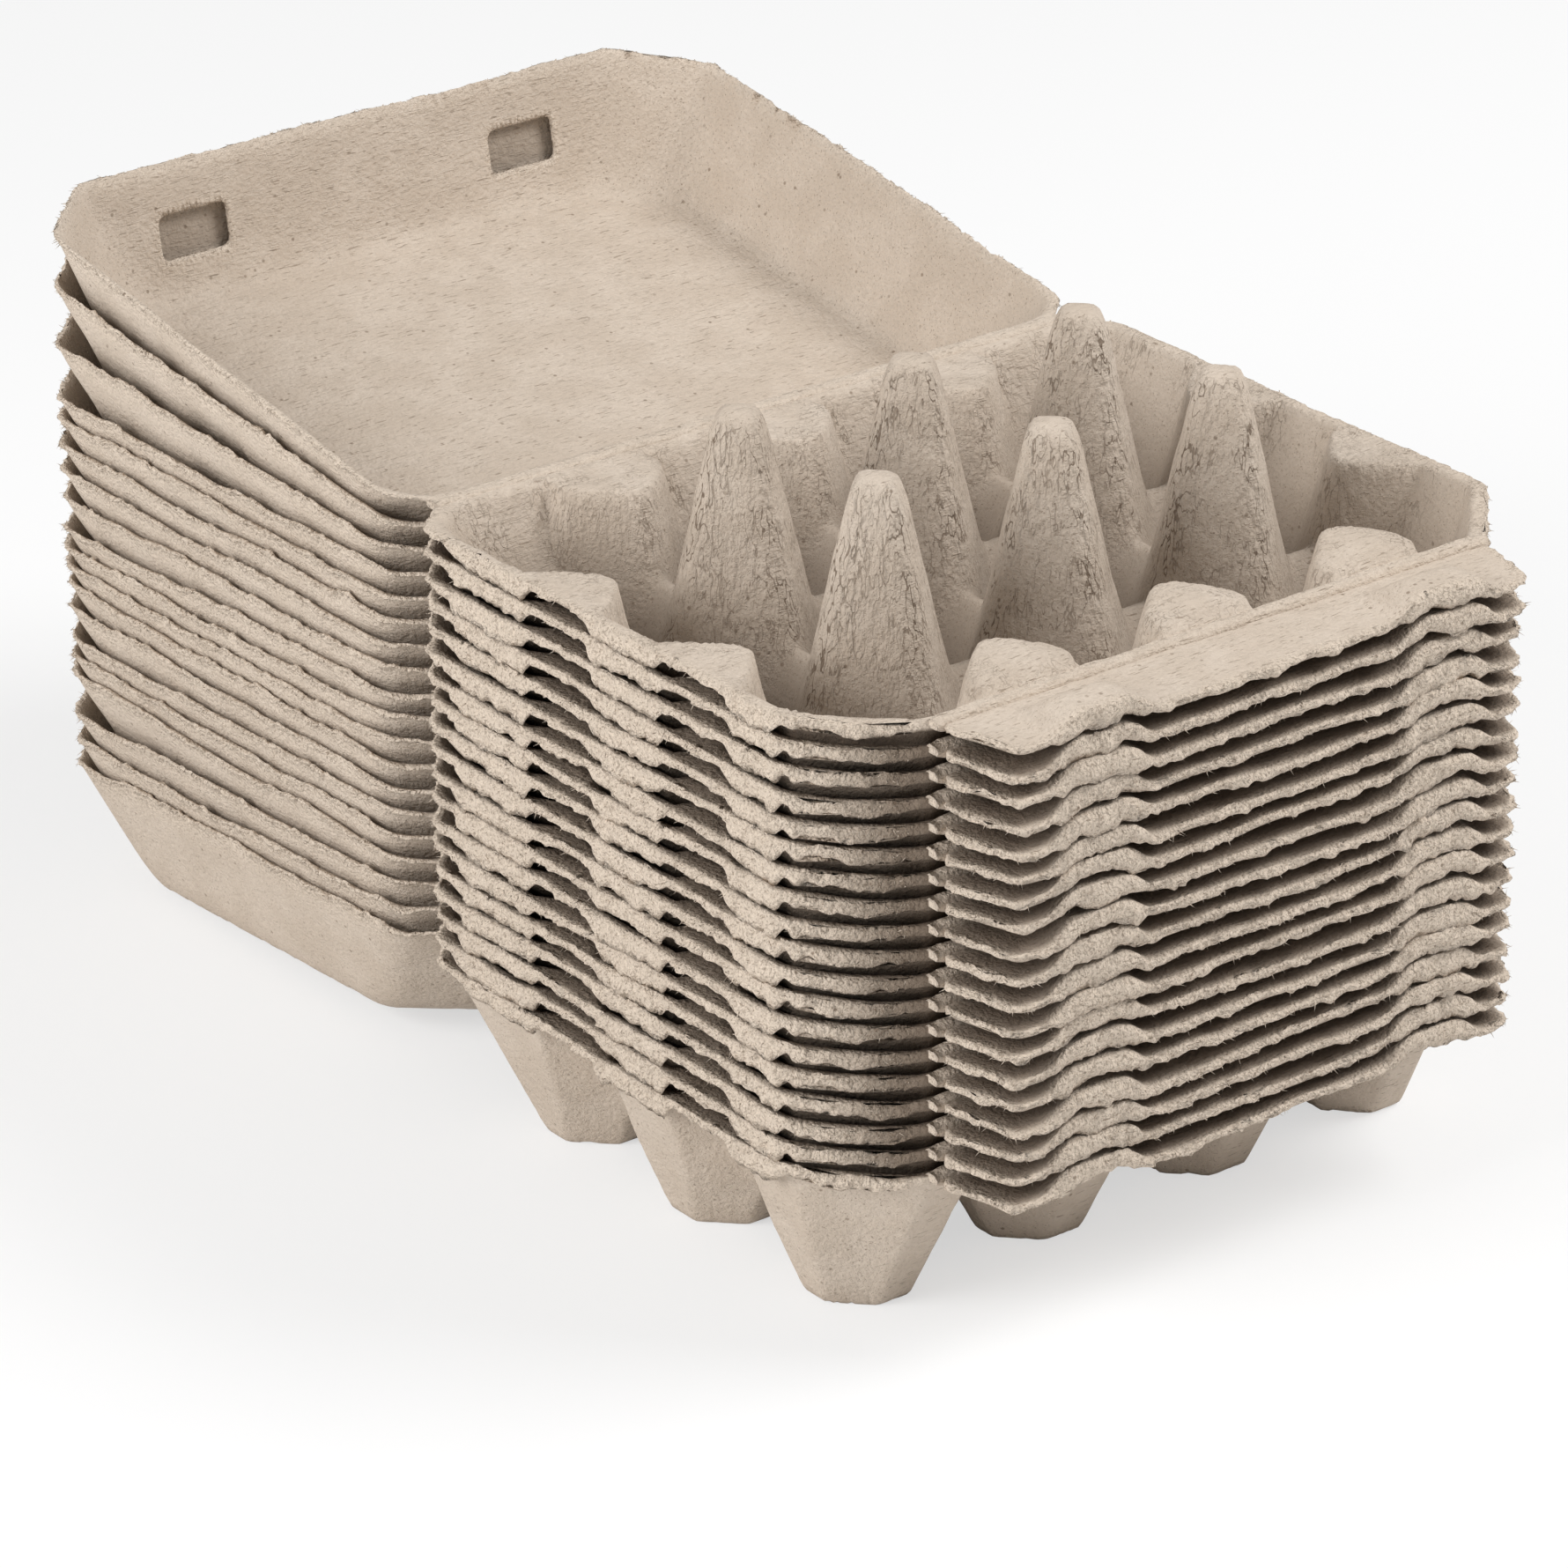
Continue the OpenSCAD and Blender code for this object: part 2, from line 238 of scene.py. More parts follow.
@dataclass
class Plan:
    """Flat sheet cut into triangles.

    Attributes:
        points: Places in the plane: the outline's, then the holes', then the inner ones.
        triangles: Corners of each triangle, anticlockwise seen from above.
        rim: Number of the outline's points.
        holes: First and last index of each hole's points.
        near_edge: 1 at the outline, falling to 0 inside.
    """

    SEED = 1
    JITTER = 0.18
    MERGE = 1e-5
    HOLE_STEP = 0.9
    HOLE_RING_STEP = 1.2
    HOLE_RINGS = ((0.9, 0.4), (2.2, 0.0))
    EDGE_RINGS = ((0.95, 2, 0.6), (2.2, 3, 0.2))
    EDGE_GAP, HOLE_GAP, STEP_GAP = 2.4, 2.2, 0.6

    points: Array
    triangles: Array
    rim: int
    holes: list[tuple[int, int]]
    near_edge: Array

    @classmethod
    def cut(cls, outline: Outline, step: float, fills: Sequence[Fill],
            holes: Sequence[Outline]) -> "Plan":
        """Cuts a sheet into triangles.

        Args:
            outline: Outer edge.
            step: Spacing of the points along the outline.
            fills: Spacings of the inner points.
            holes: Edges of the openings.

        Returns:
            The plan.
        """
        rng = np.random.default_rng(cls.SEED)
        groups: list[Array] = []
        near: list[Array] = []

        def add(points: Array, nearness: float) -> tuple[int, int]:
            first = sum(map(len, groups))
            groups.append(points)
            near.append(np.full(len(points), nearness))
            return first, first + len(points)

        loop = outline.loop(step)
        normals = loop_normals(loop)
        rings = [add(loop, 1.0)] + [add(hole.loop(cls.HOLE_STEP), 1.0) for hole in holes]
        edges = [pair for first, last in rings for pair in ring_edges(first, last - first)]
        for hole in holes:
            middle = np.mean(hole.corners, axis=0) * [1, hole.squeeze]
            half = np.ptp(hole.corners, axis=0) / 2
            for reach, nearness in cls.HOLE_RINGS:
                away = hole.loop(cls.HOLE_RING_STEP) - middle
                add(middle + away * (1 + reach / half), nearness)
        for inset, every, nearness in cls.EDGE_RINGS:
            add((loop - normals * inset)[::every], nearness)
        low, high = loop.min(0), loop.max(0)
        for fill in fills:
            grid = np.stack(np.meshgrid(np.arange(low[0], high[0], fill.step),
                                        np.arange(low[1], high[1], fill.step)), -1).reshape(-1, 2)
            grid = grid + rng.uniform(-cls.JITTER, cls.JITTER, grid.shape) * fill.step
            keep = outline.inside(grid) > cls.EDGE_GAP + cls.STEP_GAP * fill.step
            for hole in holes:
                keep &= hole.inside(grid) < -cls.HOLE_GAP - cls.STEP_GAP * fill.step
            if fill.test is not None:
                keep &= fill.test(grid)
            add(grid[keep], 0.0)
        points = np.concatenate(groups)
        _, _, faces, origin, _, _ = delaunay_2d_cdt(
            [Vector(p) for p in points], edges, [], 0, cls.MERGE)
        back = np.array([ids[0] if ids else -1 for ids in origin])
        triangles = back[np.array(faces)]
        for first, last in rings[1:]:
            within = (triangles >= first) & (triangles < last)
            triangles = triangles[~within.all(axis=1)]
        return cls(points, triangles, len(loop), rings[1:], np.concatenate(near))


@dataclass
class Sheet:
    """Skin of pulp that is being put together, with the values that the finish reads."""

    points: list[Array] = field(default_factory=list)
    triangles: list[Array] = field(default_factory=list)
    layers: dict[str, list[Array]] = field(
        default_factory=lambda: {"torn": [], "ridge": [], "shade": []})
    count: int = 0

    def add(self, points: Array, torn: Array | float = 0.0, ridge: Array | float = 0.0,
            shade: Array | float = 0.0) -> int:
        """Adds points and gives the index of the first one."""
        first = self.count
        self.points.append(points)
        for values, value in zip(self.layers.values(), (torn, ridge, shade)):
            values.append(np.broadcast_to(value, len(points)))
        self.count += len(points)
        return first

    def face(self, triangles: Array) -> None:
        """Adds triangles between points that were added."""
        self.triangles.append(np.asarray(triangles, int))

    def band(self, lower: Array, upper: Array) -> None:
        """Joins two closed rings of indices that run anticlockwise, the face outwards."""
        a, b = lower, np.roll(lower, -1)
        c, d = upper, np.roll(upper, -1)
        self.face(np.c_[a, b, d])
        self.face(np.c_[a, d, c])

    def place(self, start: int, move: Move) -> None:
        """Moves all groups of points added since the given number of groups."""
        self.points[start:] = [move(group) for group in self.points[start:]]

    def piece(self, name: str, material: bpy.types.Material) -> bpy.types.Object:
        """Makes the object.

        Args:
            name: Name of the piece.
            material: Its finish.

        Returns:
            The object, with its shape in the row frame.
        """
        points = np.concatenate(self.points) * MM
        triangles = np.concatenate(self.triangles)
        mesh = bpy.data.meshes.new(name)
        mesh.vertices.add(len(points))
        mesh.vertices.foreach_set("co", points.astype(np.float32).ravel())
        mesh.loops.add(triangles.size)
        mesh.loops.foreach_set("vertex_index", triangles.astype(np.int32).ravel())
        mesh.polygons.add(len(triangles))
        mesh.polygons.foreach_set("loop_start", np.arange(0, triangles.size, 3, dtype=np.int32))
        mesh.polygons.foreach_set("use_smooth", np.ones(len(triangles), bool))
        for label, values in self.layers.items():
            layer = mesh.attributes.new(label, "FLOAT", "POINT")
            layer.data.foreach_set("value", np.concatenate(values).astype(np.float32))
        mesh.update(calc_edges=True)
        mesh.validate()
        mesh.materials.append(material)
        obj = bpy.data.objects.new(name, mesh)
        bpy.context.scene.collection.objects.link(obj)
        LOG.info("%s: %d triangles", name, len(triangles))
        return obj


class Face(IntEnum):
    """Side of a moulding, and its place in pairs of values."""

    UPPER = 0
    LOWER = 1


class Detail(Enum):
    """How finely a face is cut into triangles."""

    COARSE = "coarse"
    MEDIUM = "medium"
    FINE = "fine"


@dataclass(frozen=True)
class Edge:
    """Torn edge of a moulding, in millimetres.

    Pairs named sides and planes belong to the upper and the lower face. Rings give the share of
    the height and the noise's height of the rings between the faces. Above the level, if there
    is one, the upper edge is cut off and no fibre stands up.
    """

    fuzz: float = 1.15
    bump: float = 0.45
    rough: float = 0.3
    wave: float = 0.7
    wave_length: float = 34.0
    wave_reach: float = 7.0
    swell: float = 0.35
    swell_mean: float = 0.6
    swell_sides: Pair = (0.45, -1.0)
    sway: float = 0.5
    draw_in: float = 0.4
    bulge: float = 0.1
    planes: Pair = (7.0, 23.0)
    rings: tuple[Pair, Pair] = ((0.33, 31.0), (0.7, 40.0))
    fray: float = 0.27
    fibre_spread: float = 0.7
    fibre_droop: float = 0.2
    fibre_radius: Pair = (0.1, 0.2)
    fibre_length: Pair = (0.5, 1.7)
    fibre_root: float = 0.4
    level: float | None = None


class Form:
    """A pressed shape over a plan, with an upper and a lower face.

    Over points of the plan a form may also say where the skin is stretched and cracks (ridge),
    how far the torn edge hangs below the rim (skirt) and the rim as a whole (sag), how much
    painted shade darkens the upper face in its hollows (hollow) and how much painted shade the
    edge gets where it lies in the dark between cartons (gloom).
    """

    SLOPE_STEP = 0.5
    STEEP_SLOPE = 1.0
    NEARNESS = (0, 0.2, 0.6, 1)
    SKIRT_SHARES = (0, 0.1, 0.6, 0)
    SWELL_SHARES = (0, 0.25, 0.8, 0)
    LEVEL_FREE = 0.6
    FIBRE_FREE = 0.8
    FIBRE_ASIDE = (0.31, 0.17, 0.93)

    def outline(self) -> Outline:
        """Outer edge in plan."""
        raise NotImplementedError

    def height(self, points: Array, face: Face) -> Array:
        """Height of a face over points of the plan."""
        raise NotImplementedError

    def loose(self, points: Array) -> Array:
        """1 where the edge is free and torn, 0 where a fold holds it."""
        raise NotImplementedError

    def windows(self, face: Face) -> list[Outline]:
        """Openings in plan."""
        return []

    def _nowhere(self, points: Array, *_: Array) -> Array:
        """0 at every point."""
        return np.zeros(len(points))

    ridge = skirt = sag = hollow = gloom = _nowhere

    def steep(self, points: Array) -> Array:
        """Where the upper face is steep."""
        step = self.SLOPE_STEP
        slopes = [(self.height(points + move, Face.UPPER) - self.height(points - move, Face.UPPER))
                  / (2 * step) for move in (np.array([step, 0]), np.array([0, step]))]
        return np.hypot(*slopes) > self.STEEP_SLOPE

    def skin(self, sheet: Sheet, plans: Sequence[Plan], grain: Grain, edge: Edge,
             wrinkle: float, nested: Pair) -> None:
        """Builds the closed skin.

        Args:
            sheet: Takes the points and triangles.
            plans: Plans of the upper and the lower face, with one outline and as many holes.
            grain: Noise of this moulding.
            edge: Shape of the torn edge.
            wrinkle: Level shift of the upper face by the pulp's wrinkles.
            nested: How much painted shade the upper and the lower face get in the dark between
                cartons.
        """
        firsts, rims = [], []
        for face, plan, dark in zip(Face, plans, nested):
            points = self._pressed(plan, face, grain, edge, wrinkle)
            flat, z, triangles, ridge = plan.points, points[:, 2], plan.triangles[:, ::-1], 0.0
            # Painted shade: faces that lie between cartons, edges in the dark by the flap, and the
            # cells' hollows
            shade = dark * np.maximum(1 - plan.near_edge, self.gloom(flat))
            if face is Face.UPPER:
                triangles, ridge = plan.triangles, self.ridge(flat)
                shade = np.maximum(shade, self.hollow(flat, z))
            firsts.append(sheet.add(points, plan.near_edge * self.loose(flat), ridge, shade))
            rims.append(z[:plan.rim])
            sheet.face(triangles + firsts[-1])
        self._tear(sheet, plans[0], firsts, rims, grain, edge, min(nested))
        for (a0, a1), (b0, b1) in zip(plans[0].holes, plans[1].holes):
            sheet.band(np.arange(a0, a1) + firsts[0], np.arange(b0, b1) + firsts[1])

    def _pressed(self, plan: Plan, face: Face, grain: Grain, edge: Edge,
                 wrinkle: float) -> Array:
        """Points of one face, waved along its rim and ragged at its edge."""
        flat, rim, upper = plan.points, plan.rim, face is Face.UPPER
        z = self.height(flat, face)
        if wrinkle and upper:
            solid = np.c_[flat, z]
            shift = np.c_[
                grain.at(solid, Noise.WRINKLE_X_FINE) + grain.at(solid, Noise.WRINKLE_X),
                grain.at(solid, Noise.WRINKLE_Y_FINE) + grain.at(solid, Noise.WRINKLE_Y)]
            z = self.height(flat + wrinkle * shift, face)
            z = z + wrinkle * grain.at(solid, Noise.WRINKLE_Z)
        z = z + self._wave(flat, grain, edge)
        loop, free, side = flat[:rim], self.loose(flat), edge.swell_sides[face]
        loose = free[:rim]
        line, solid = np.c_[loop, np.zeros(rim)], np.c_[loop, np.full(rim, edge.planes[face])]
        fuzz = grain.at(solid, Noise.FUZZ_FINE) + grain.at(solid, Noise.FUZZ)
        sway = grain.at(line, Noise.SWAY) * edge.sway
        out = loose * (sway - edge.draw_in + edge.fuzz * fuzz)
        place = flat.copy()
        place[:rim] += loop_normals(loop) * out[:, None]
        z[:rim] += edge.swell * loose * (edge.swell_mean + grain.at(solid, Noise.SWELL)) * side
        jag = grain.at(line, Noise.JAG_FINE) + grain.at(line, Noise.JAG)
        z[:rim] += loose * (edge.bump * jag + edge.rough * grain.at(solid, Noise.ROUGH))
        if not upper:
            skirt = self.skirt(flat)
            z[:rim] -= skirt[:rim] * (1 + grain.at(solid, Noise.HANG)) * loose
            z[rim:] -= (np.interp(plan.near_edge, self.NEARNESS, self.SKIRT_SHARES) * skirt)[rim:]
        swollen = np.interp(plan.near_edge, self.NEARNESS, self.SWELL_SHARES)
        z += free * swollen * edge.swell * edge.swell_mean * side
        if upper and edge.level is not None:
            capped = (plan.near_edge > 0) & (free > self.LEVEL_FREE)
            z[capped] = np.minimum(z[capped], edge.level)
        return np.c_[place, z]

    def _wave(self, flat: Array, grain: Grain, edge: Edge) -> Array:
        """Slow rise and fall of the rim."""
        solid = np.c_[flat, np.zeros(len(flat))]
        depth = np.maximum(self.outline().inside(flat), 0)
        near = np.exp(-(depth / edge.wave_reach) ** 2) * self.loose(flat)
        slow = (grain.at(solid, Noise.WAVE, edge.wave_length)
                + grain.at(solid, Noise.WAVE_FINE, edge.wave_length))
        return (edge.wave * slow - self.sag(flat)) * near

    def _tear(self, sheet: Sheet, plan: Plan, firsts: list[int], rims: list[Array],
              grain: Grain, edge: Edge, dark: float) -> None:
        """Closes the outer edge with ragged rings between the faces."""
        loop, indices = plan.points[:plan.rim], np.arange(plan.rim)
        normals, loose = loop_normals(loop), self.loose(loop)
        top, bottom = rims
        sway = grain.at(np.c_[loop, np.zeros(plan.rim)], Noise.SWAY) * edge.sway
        hanging = np.c_[normals, np.full(plan.rim, -edge.fibre_droop)]
        rings = [firsts[1]]
        for number, (share, plane) in enumerate(edge.rings):
            solid = np.c_[loop, np.full(plan.rim, plane)]
            fuzz = grain.at(solid, Noise.TEAR_FINE) + grain.at(solid, Noise.TEAR)
            out = loose * (sway + edge.bulge + edge.fuzz * fuzz)
            z = bottom + (top - bottom) * (share + loose * grain.at(solid, Noise.LAYER))
            place = np.c_[loop + normals * out[:, None], z]
            # The torn rings get painted shade where the edge lies in the dark between cartons
            rings.append(sheet.add(place, loose, 0.0, dark * self.gloom(loop)))
            self._fray(sheet, place, hanging, loose, edge,
                       np.random.default_rng([grain.seed, number]))
        rings.append(firsts[0])
        for low, high in zip(rings, rings[1:]):
            sheet.band(indices + low, indices + high)

    def _fray(self, sheet: Sheet, line: Array, out: Array, loose: Array, edge: Edge,
              rng: np.random.Generator) -> None:
        """Adds loose fibres along a line, each a thin closed spike."""
        some = rng.random(len(line)) < edge.fray
        picked = np.flatnonzero((loose > self.FIBRE_FREE) & some)
        count = len(picked)
        way = out[picked] + rng.normal(0, edge.fibre_spread, (count, 3))
        if edge.level is not None:
            way[:, 2] = -np.abs(way[:, 2])
        way = unit(way)
        side = unit(np.cross(way, self.FIBRE_ASIDE))
        other = np.cross(way, side)
        radius = rng.uniform(*edge.fibre_radius, (count, 1))
        length = rng.uniform(*edge.fibre_length, (count, 1))
        root = line[picked] - edge.fibre_root * way
        corners = [root + radius * (math.cos(turn) * side + math.sin(turn) * other)
                   for turn in (0, 2 * math.pi / 3, 4 * math.pi / 3)]
        first = sheet.add(np.concatenate([*corners, line[picked] + length * way]), 1.0)
        a, b, c, tip = (first + i * count + np.arange(count) for i in range(4))
        for face in ((a, b, tip), (b, c, tip), (c, a, tip), (c, b, a)):
            sheet.face(np.stack(face, axis=1))


@dataclass(frozen=True)
class Tray(Form):
    """Tray of three by four egg cells with posts, ribs and saddles.

    Pairs whose names end in blend belong to the upper and the lower face. Other pairs are spans
    over which something sets in.
    """

    cell: float = 48.0
    depth: float = 40.0
    floor: float = 2.2
    rim: float = 2.2
    rim_blend: float = 1.6
    half_x: float = 97.0
    half_y: float = 77.5
    wall: float = 1.5
    wall_blend: Pair = (8.0, 2.4)
    end_draft: float = 0.33
    side_draft: float = 0.45
    rim_x: float = 98.9
    hinge_y: float = 79.6
    crease_y: float = -78.2
    front_cut: float = 22.0
    hinge_cut: float = 9.0
    corner_round: float = 8.0
    corner_front: float = 107.834
    corner_back: float = 117.026
    corner_foot: float = 95.384
    free: float = 4.0
    post_high: float = 30.0
    post_half: float = 11.4
    post_draft: float = 0.21
    post_wall: float = 1.0
    post_blend: Pair = (6.0, 2.0)
    tip_round: float = 0.045
    tip_soft: float = 7.0
    foot_top: float = -21.0
    foot_draft: float = 0.4
    foot_blend: Pair = (7.0, 3.0)
    squareness: float = 4.0
    rib_high: float = 4.5
    rib_soft: float = 1.5
    rib_blend: Pair = (5.0, 2.0)
    front_y: float = -77.4
    front_draft: float = 0.8
    front_round: float = 0.012
    front_soft: float = 4.0
    front_edge: float = 2.5
    saddle: float = 20.0
    saddle_round: float = 2.6
    saddle_draft: float = 0.5
    saddle_blend: Pair = (6.0, 2.0)
    hang: float = 2.5
    hang_y: float = -2.0
    hang_in: Pair = (4.0, 1.0)
    hang_start: Pair = (10.0, 13.5)
    hang_end: Pair = (60.0, 66.0)
    thin: float = 0.5
    corner_hang: float = 0.9
    corner_sag: float = 1.3
    sag_x: Pair = (70.0, 80.0)
    notch: float = 2.6
    notch_width: float = 1.8
    # Painted shade at the front corners' edges by the flap
    gloom_share: float = 0.95
    gloom_y: Pair = (60.0, 75.0)
    # Painted shade in the cells, deepest at their floors and reaching up the posts
    painted_shade: float = 0.6
    painted_shade_start: float = 1.0
    painted_shade_rise: float = 18.0
    painted_shade_floor: float = 38.0
    painted_shade_post: Pair = (9.0, 20.0)
    crack_flat: float = 0.45
    crack_width: float = 3.0
    crack_in: Pair = (3.0, 6.0)
    crack_out: Pair = (15.0, 19.0)
    crack_rib: float = 0.6

    def outline(self) -> Outline:
        """Outer edge of the rim."""
        flap, hinge = self.rim_x - self.front_cut, self.rim_x - self.hinge_cut
        front, back = self.crease_y + self.front_cut, self.hinge_y - self.hinge_cut
        return Outline((
            (-self.rim_x, back), (-self.rim_x, front), (-flap, self.crease_y),
            (flap, self.crease_y), (self.rim_x, front), (self.rim_x, back),
            (hinge, self.hinge_y), (-hinge, self.hinge_y)), self.corner_round)

    def loose(self, points: Array) -> Array:
        """Free at the ends and corners, held at the hinge and the crease."""
        front = ramp(points[:, 1], self.crease_y + HELD, self.crease_y + self.free)
        back = ramp(-points[:, 1], HELD - self.hinge_y, self.free - self.hinge_y)
        return front * back

    def _nearest(self, points: Array) -> tuple[Array, Array, Array, Array]:
        """Offsets to the nearest crossing of the cells' lines, and that crossing's numbers."""
        i = np.clip(np.round(points[:, 0] / self.cell), -2, 2)
        j = np.clip(np.round(points[:, 1] / self.cell - 0.5), -2, 1)
        return points[:, 0] - i * self.cell, points[:, 1] - (j + 0.5) * self.cell, i, j

    def _inner(self, i: Array, j: Array) -> tuple[Array, Array]:
        """Whether crossings lie between cells along X and along Y, both at a post."""
        return np.abs(i) < 2, (j == -1) | (j == 0)

    def _spread(self, dx: Array, dy: Array) -> Array:
        """Distance from a post's centre to its flats, with rounded corners."""
        u, v = np.abs(dx + dy) / ROOT_2, np.abs(dx - dy) / ROOT_2
        p = self.squareness
        return (u ** p + v ** p) ** (1 / p)

    def _flank(self, spread: Array, blend: float) -> Array:
        """Height of a post's side at a distance from its centre."""
        foot_half = self.post_half - self.post_draft * self.foot_top
        return smooth_max((self.post_half - spread) / self.post_draft,
                          self.foot_top - (spread - foot_half) / self.foot_draft, blend)

    def height(self, points: Array, face: Face) -> Array:
        """Height of the tray's upper or lower face."""
        x, y = np.abs(points[:, 0]), points[:, 1]
        under = face is Face.LOWER
        skin, drop = (0.0, self.rim) if under else (self.wall, 0.0)
        walls = np.full(len(points), -self.depth if under else self.floor - self.depth)
        for gap, draft in (
                (self.half_x - skin - x, self.end_draft),
                (self.half_y - skin - np.abs(y), self.side_draft),
                (self.corner_front - skin - (x - y) / ROOT_2,
                 (self.corner_front - self.corner_foot) / self.depth),
                (self.corner_back - skin - (x + y) / ROOT_2,
                 (self.corner_back - self.corner_foot) / self.depth)):
            walls = smooth_max(walls, -gap / draft, self.wall_blend[face])
        dx, dy, i, j = self._nearest(points)
        inner_x, inner_y = self._inner(i, j)
        for offset, real in ((dx, inner_x), (dy, inner_y)):
            away = np.hypot(offset, self.saddle_round) - self.saddle_round
            crest = -self.saddle - away / self.saddle_draft
            if under:
                crest = crest - self.wall / self.saddle_draft
            walls = np.where(real, smooth_max(walls, crest, self.saddle_blend[face]), walls)
        spread = self._spread(dx, dy) + (self.post_wall if under else 0.0)
        flank = self._flank(spread, self.foot_blend[face])
        tip = self.post_high - drop - self.tip_round * spread ** 2
        post = smooth_max(walls, smooth_min(flank, tip, self.tip_soft), self.post_blend[face])
        walls = np.where(inner_x & inner_y, post, walls)
        rib = smooth_max(walls, smooth_min(flank, -drop, self.rib_soft), self.rib_blend[face])
        walls = np.where(inner_x ^ inner_y, rib, walls)
        walls = np.where(inner_x & inner_y, walls, smooth_min(walls, -drop, self.rim_blend))
        crown = self.rib_high - drop - self.front_round * dx ** 2
        slope = (y - self.front_y - (self.wall if under else 0)) / self.front_draft - drop
        front = smooth_min(smooth_min(flank, crown, self.front_soft), slope, self.front_edge)
        return np.where(inner_x & (j == -2), smooth_max(walls, front, self.rib_soft), walls)

    def skirt(self, points: Array) -> Array:
        """The ends' edges hang at the cells, less at the corners, and are thin at the ribs."""
        far_in, near_in = self.hang_in
        ends = ramp(np.abs(points[:, 0]), self.rim_x - far_in, self.rim_x - near_in)
        along = np.abs(points[:, 1] - self.hang_y)
        cells = (ramp(np.abs(along - self.cell / 2), *self.hang_start)
                 * (1 - ramp(along, *self.hang_end)) * ends)
        corner = self._corner(points)
        bend = (points[:, 1] - self.crease_y - self.front_cut) / self.notch_width
        return (self.hang * cells + self.corner_hang * corner - self.notch * np.exp(-bend ** 2)
                - self.thin * (1 - cells) * (1 - corner))

    def _corner(self, points: Array) -> Array:
        """1 halfway along the front corners' edges, 0 at their ends."""
        share = np.clip((self.crease_y + self.front_cut - points[:, 1]) / self.front_cut, 0, 1)
        return np.sin(math.pi * share)

    def sag(self, points: Array) -> Array:
        """The front corners' edges sag."""
        return self.corner_sag * self._corner(points) * ramp(np.abs(points[:, 0]), *self.sag_x)

    def gloom(self, points: Array) -> Array:
        """Painted shade where the front corners meet the flap."""
        return self.gloom_share * ramp(-points[:, 1], *self.gloom_y)

    def hollow(self, points: Array, z: Array) -> Array:
        """Painted shade: cells are darker towards their floors, posts from above the rim on."""
        dx, dy, i, j = self._nearest(points)
        posts = self._posts(i, j) * (1 - ramp(self._spread(dx, dy), *self.painted_shade_post))
        start = self.painted_shade_start - self.painted_shade_rise * posts
        return self.painted_shade * ramp((-z - start) / (self.painted_shade_floor - start), 0.0, 1.0)

    def _posts(self, i: Array, j: Array) -> Array:
        """1 at the crossings that have a post, by the crossings' numbers."""
        return np.where(np.logical_and(*self._inner(i, j)), 1.0, 0.0)

    def ridge(self, points: Array) -> Array:
        """The posts and the ribs, most at their corners, where the skin is cracked."""
        dx, dy, i, j = self._nearest(points)
        spread = self._spread(dx, dy)
        near = np.exp(-(np.minimum(np.abs(dx), np.abs(dy)) / self.crack_width) ** 2)
        corner = self.crack_flat + (1 - self.crack_flat) * near
        band = ramp(spread, *self.crack_in) * (1 - ramp(spread, *self.crack_out))
        return corner * band * (self.crack_rib + (1 - self.crack_rib) * self._posts(i, j))


@dataclass(frozen=True)
class Lid(Form):
    """Deep lid with two latch windows in its far wall, measured from the hinge line."""

    depth: float = 33.0
    panel: float = 2.0
    rim: float = 0.7
    rim_blend: Pair = (1.8, 0.5)
    half_x: float = 97.0
    near: float = 1.5
    far: float = 163.3
    wall: float = 1.3
    wall_soft: float = 9.0
    draft: float = 0.36
    rim_x: float = 96.8
    rim_near: float = 0.5
    rim_far: float = 163.1
    near_cut: float = 9.0
    far_cut: float = 19.0
    corner_round: float = 8.0
    corner_near: float = 119.43
    corner_far: float = 112.359
    corner_panel: float = 94.851
    free: float = 6.0
    latch_x: float = 48.0
    window_w: float = 19.6
    window_h: float = 10.5
    window_z: float = 17.0
    window_r: float = 2.0

    def outline(self) -> Outline:
        """Outer edge of the lid's lip."""
        x, hinge, far = self.rim_x, self.rim_x - self.near_cut, self.rim_x - self.far_cut
        return Outline((
            (-x, self.near_cut), (-hinge, self.rim_near), (hinge, self.rim_near),
            (x, self.near_cut), (x, self.rim_far - self.far_cut), (far, self.rim_far),
            (-far, self.rim_far), (-x, self.rim_far - self.far_cut)), self.corner_round)

    def loose(self, points: Array) -> Array:
        """Free all round, held at the hinge."""
        return ramp(points[:, 1], self.rim_near + HELD, self.rim_near + self.free)

    def windows(self, face: Face) -> list[Outline]:
        """The latch windows, where each face of the far wall passes them."""
        far = self.far - (self.wall if face is Face.UPPER else 0.0)
        low = far - self.draft * (self.window_z + self.window_h / 2)
        high = far - self.draft * (self.window_z - self.window_h / 2)
        half, low, high = self.window_w / 2, low / self.draft, high / self.draft
        return [Outline(((x - half, low), (x + half, low), (x + half, high), (x - half, high)),
                        self.window_r, self.draft) for x in (-self.latch_x, self.latch_x)]

    def height(self, points: Array, face: Face) -> Array:
        """Height of the lid's inner or outer face."""
        x, y = np.abs(points[:, 0]), points[:, 1]
        skin, panel, drop = ((self.wall, self.panel, 0.0) if face is Face.UPPER
                             else (0.0, 0.0, self.rim))
        middle = (self.near + self.far) / 2
        z = np.full(len(points), panel - self.depth)
        for gap, draft in (
                (self.half_x - skin - x, self.draft),
                (y - self.near - skin, self.draft),
                (self.far - skin - y, self.draft),
                (self.corner_near - skin - (x - y + middle) / ROOT_2,
                 (self.corner_near - self.corner_panel) / self.depth),
                (self.corner_far - skin - (x + y - middle) / ROOT_2,
                 (self.corner_far - self.corner_panel) / self.depth)):
            z = smooth_max(z, -gap / draft, self.wall_soft)
        return smooth_min(z, -drop, self.rim_blend[face])


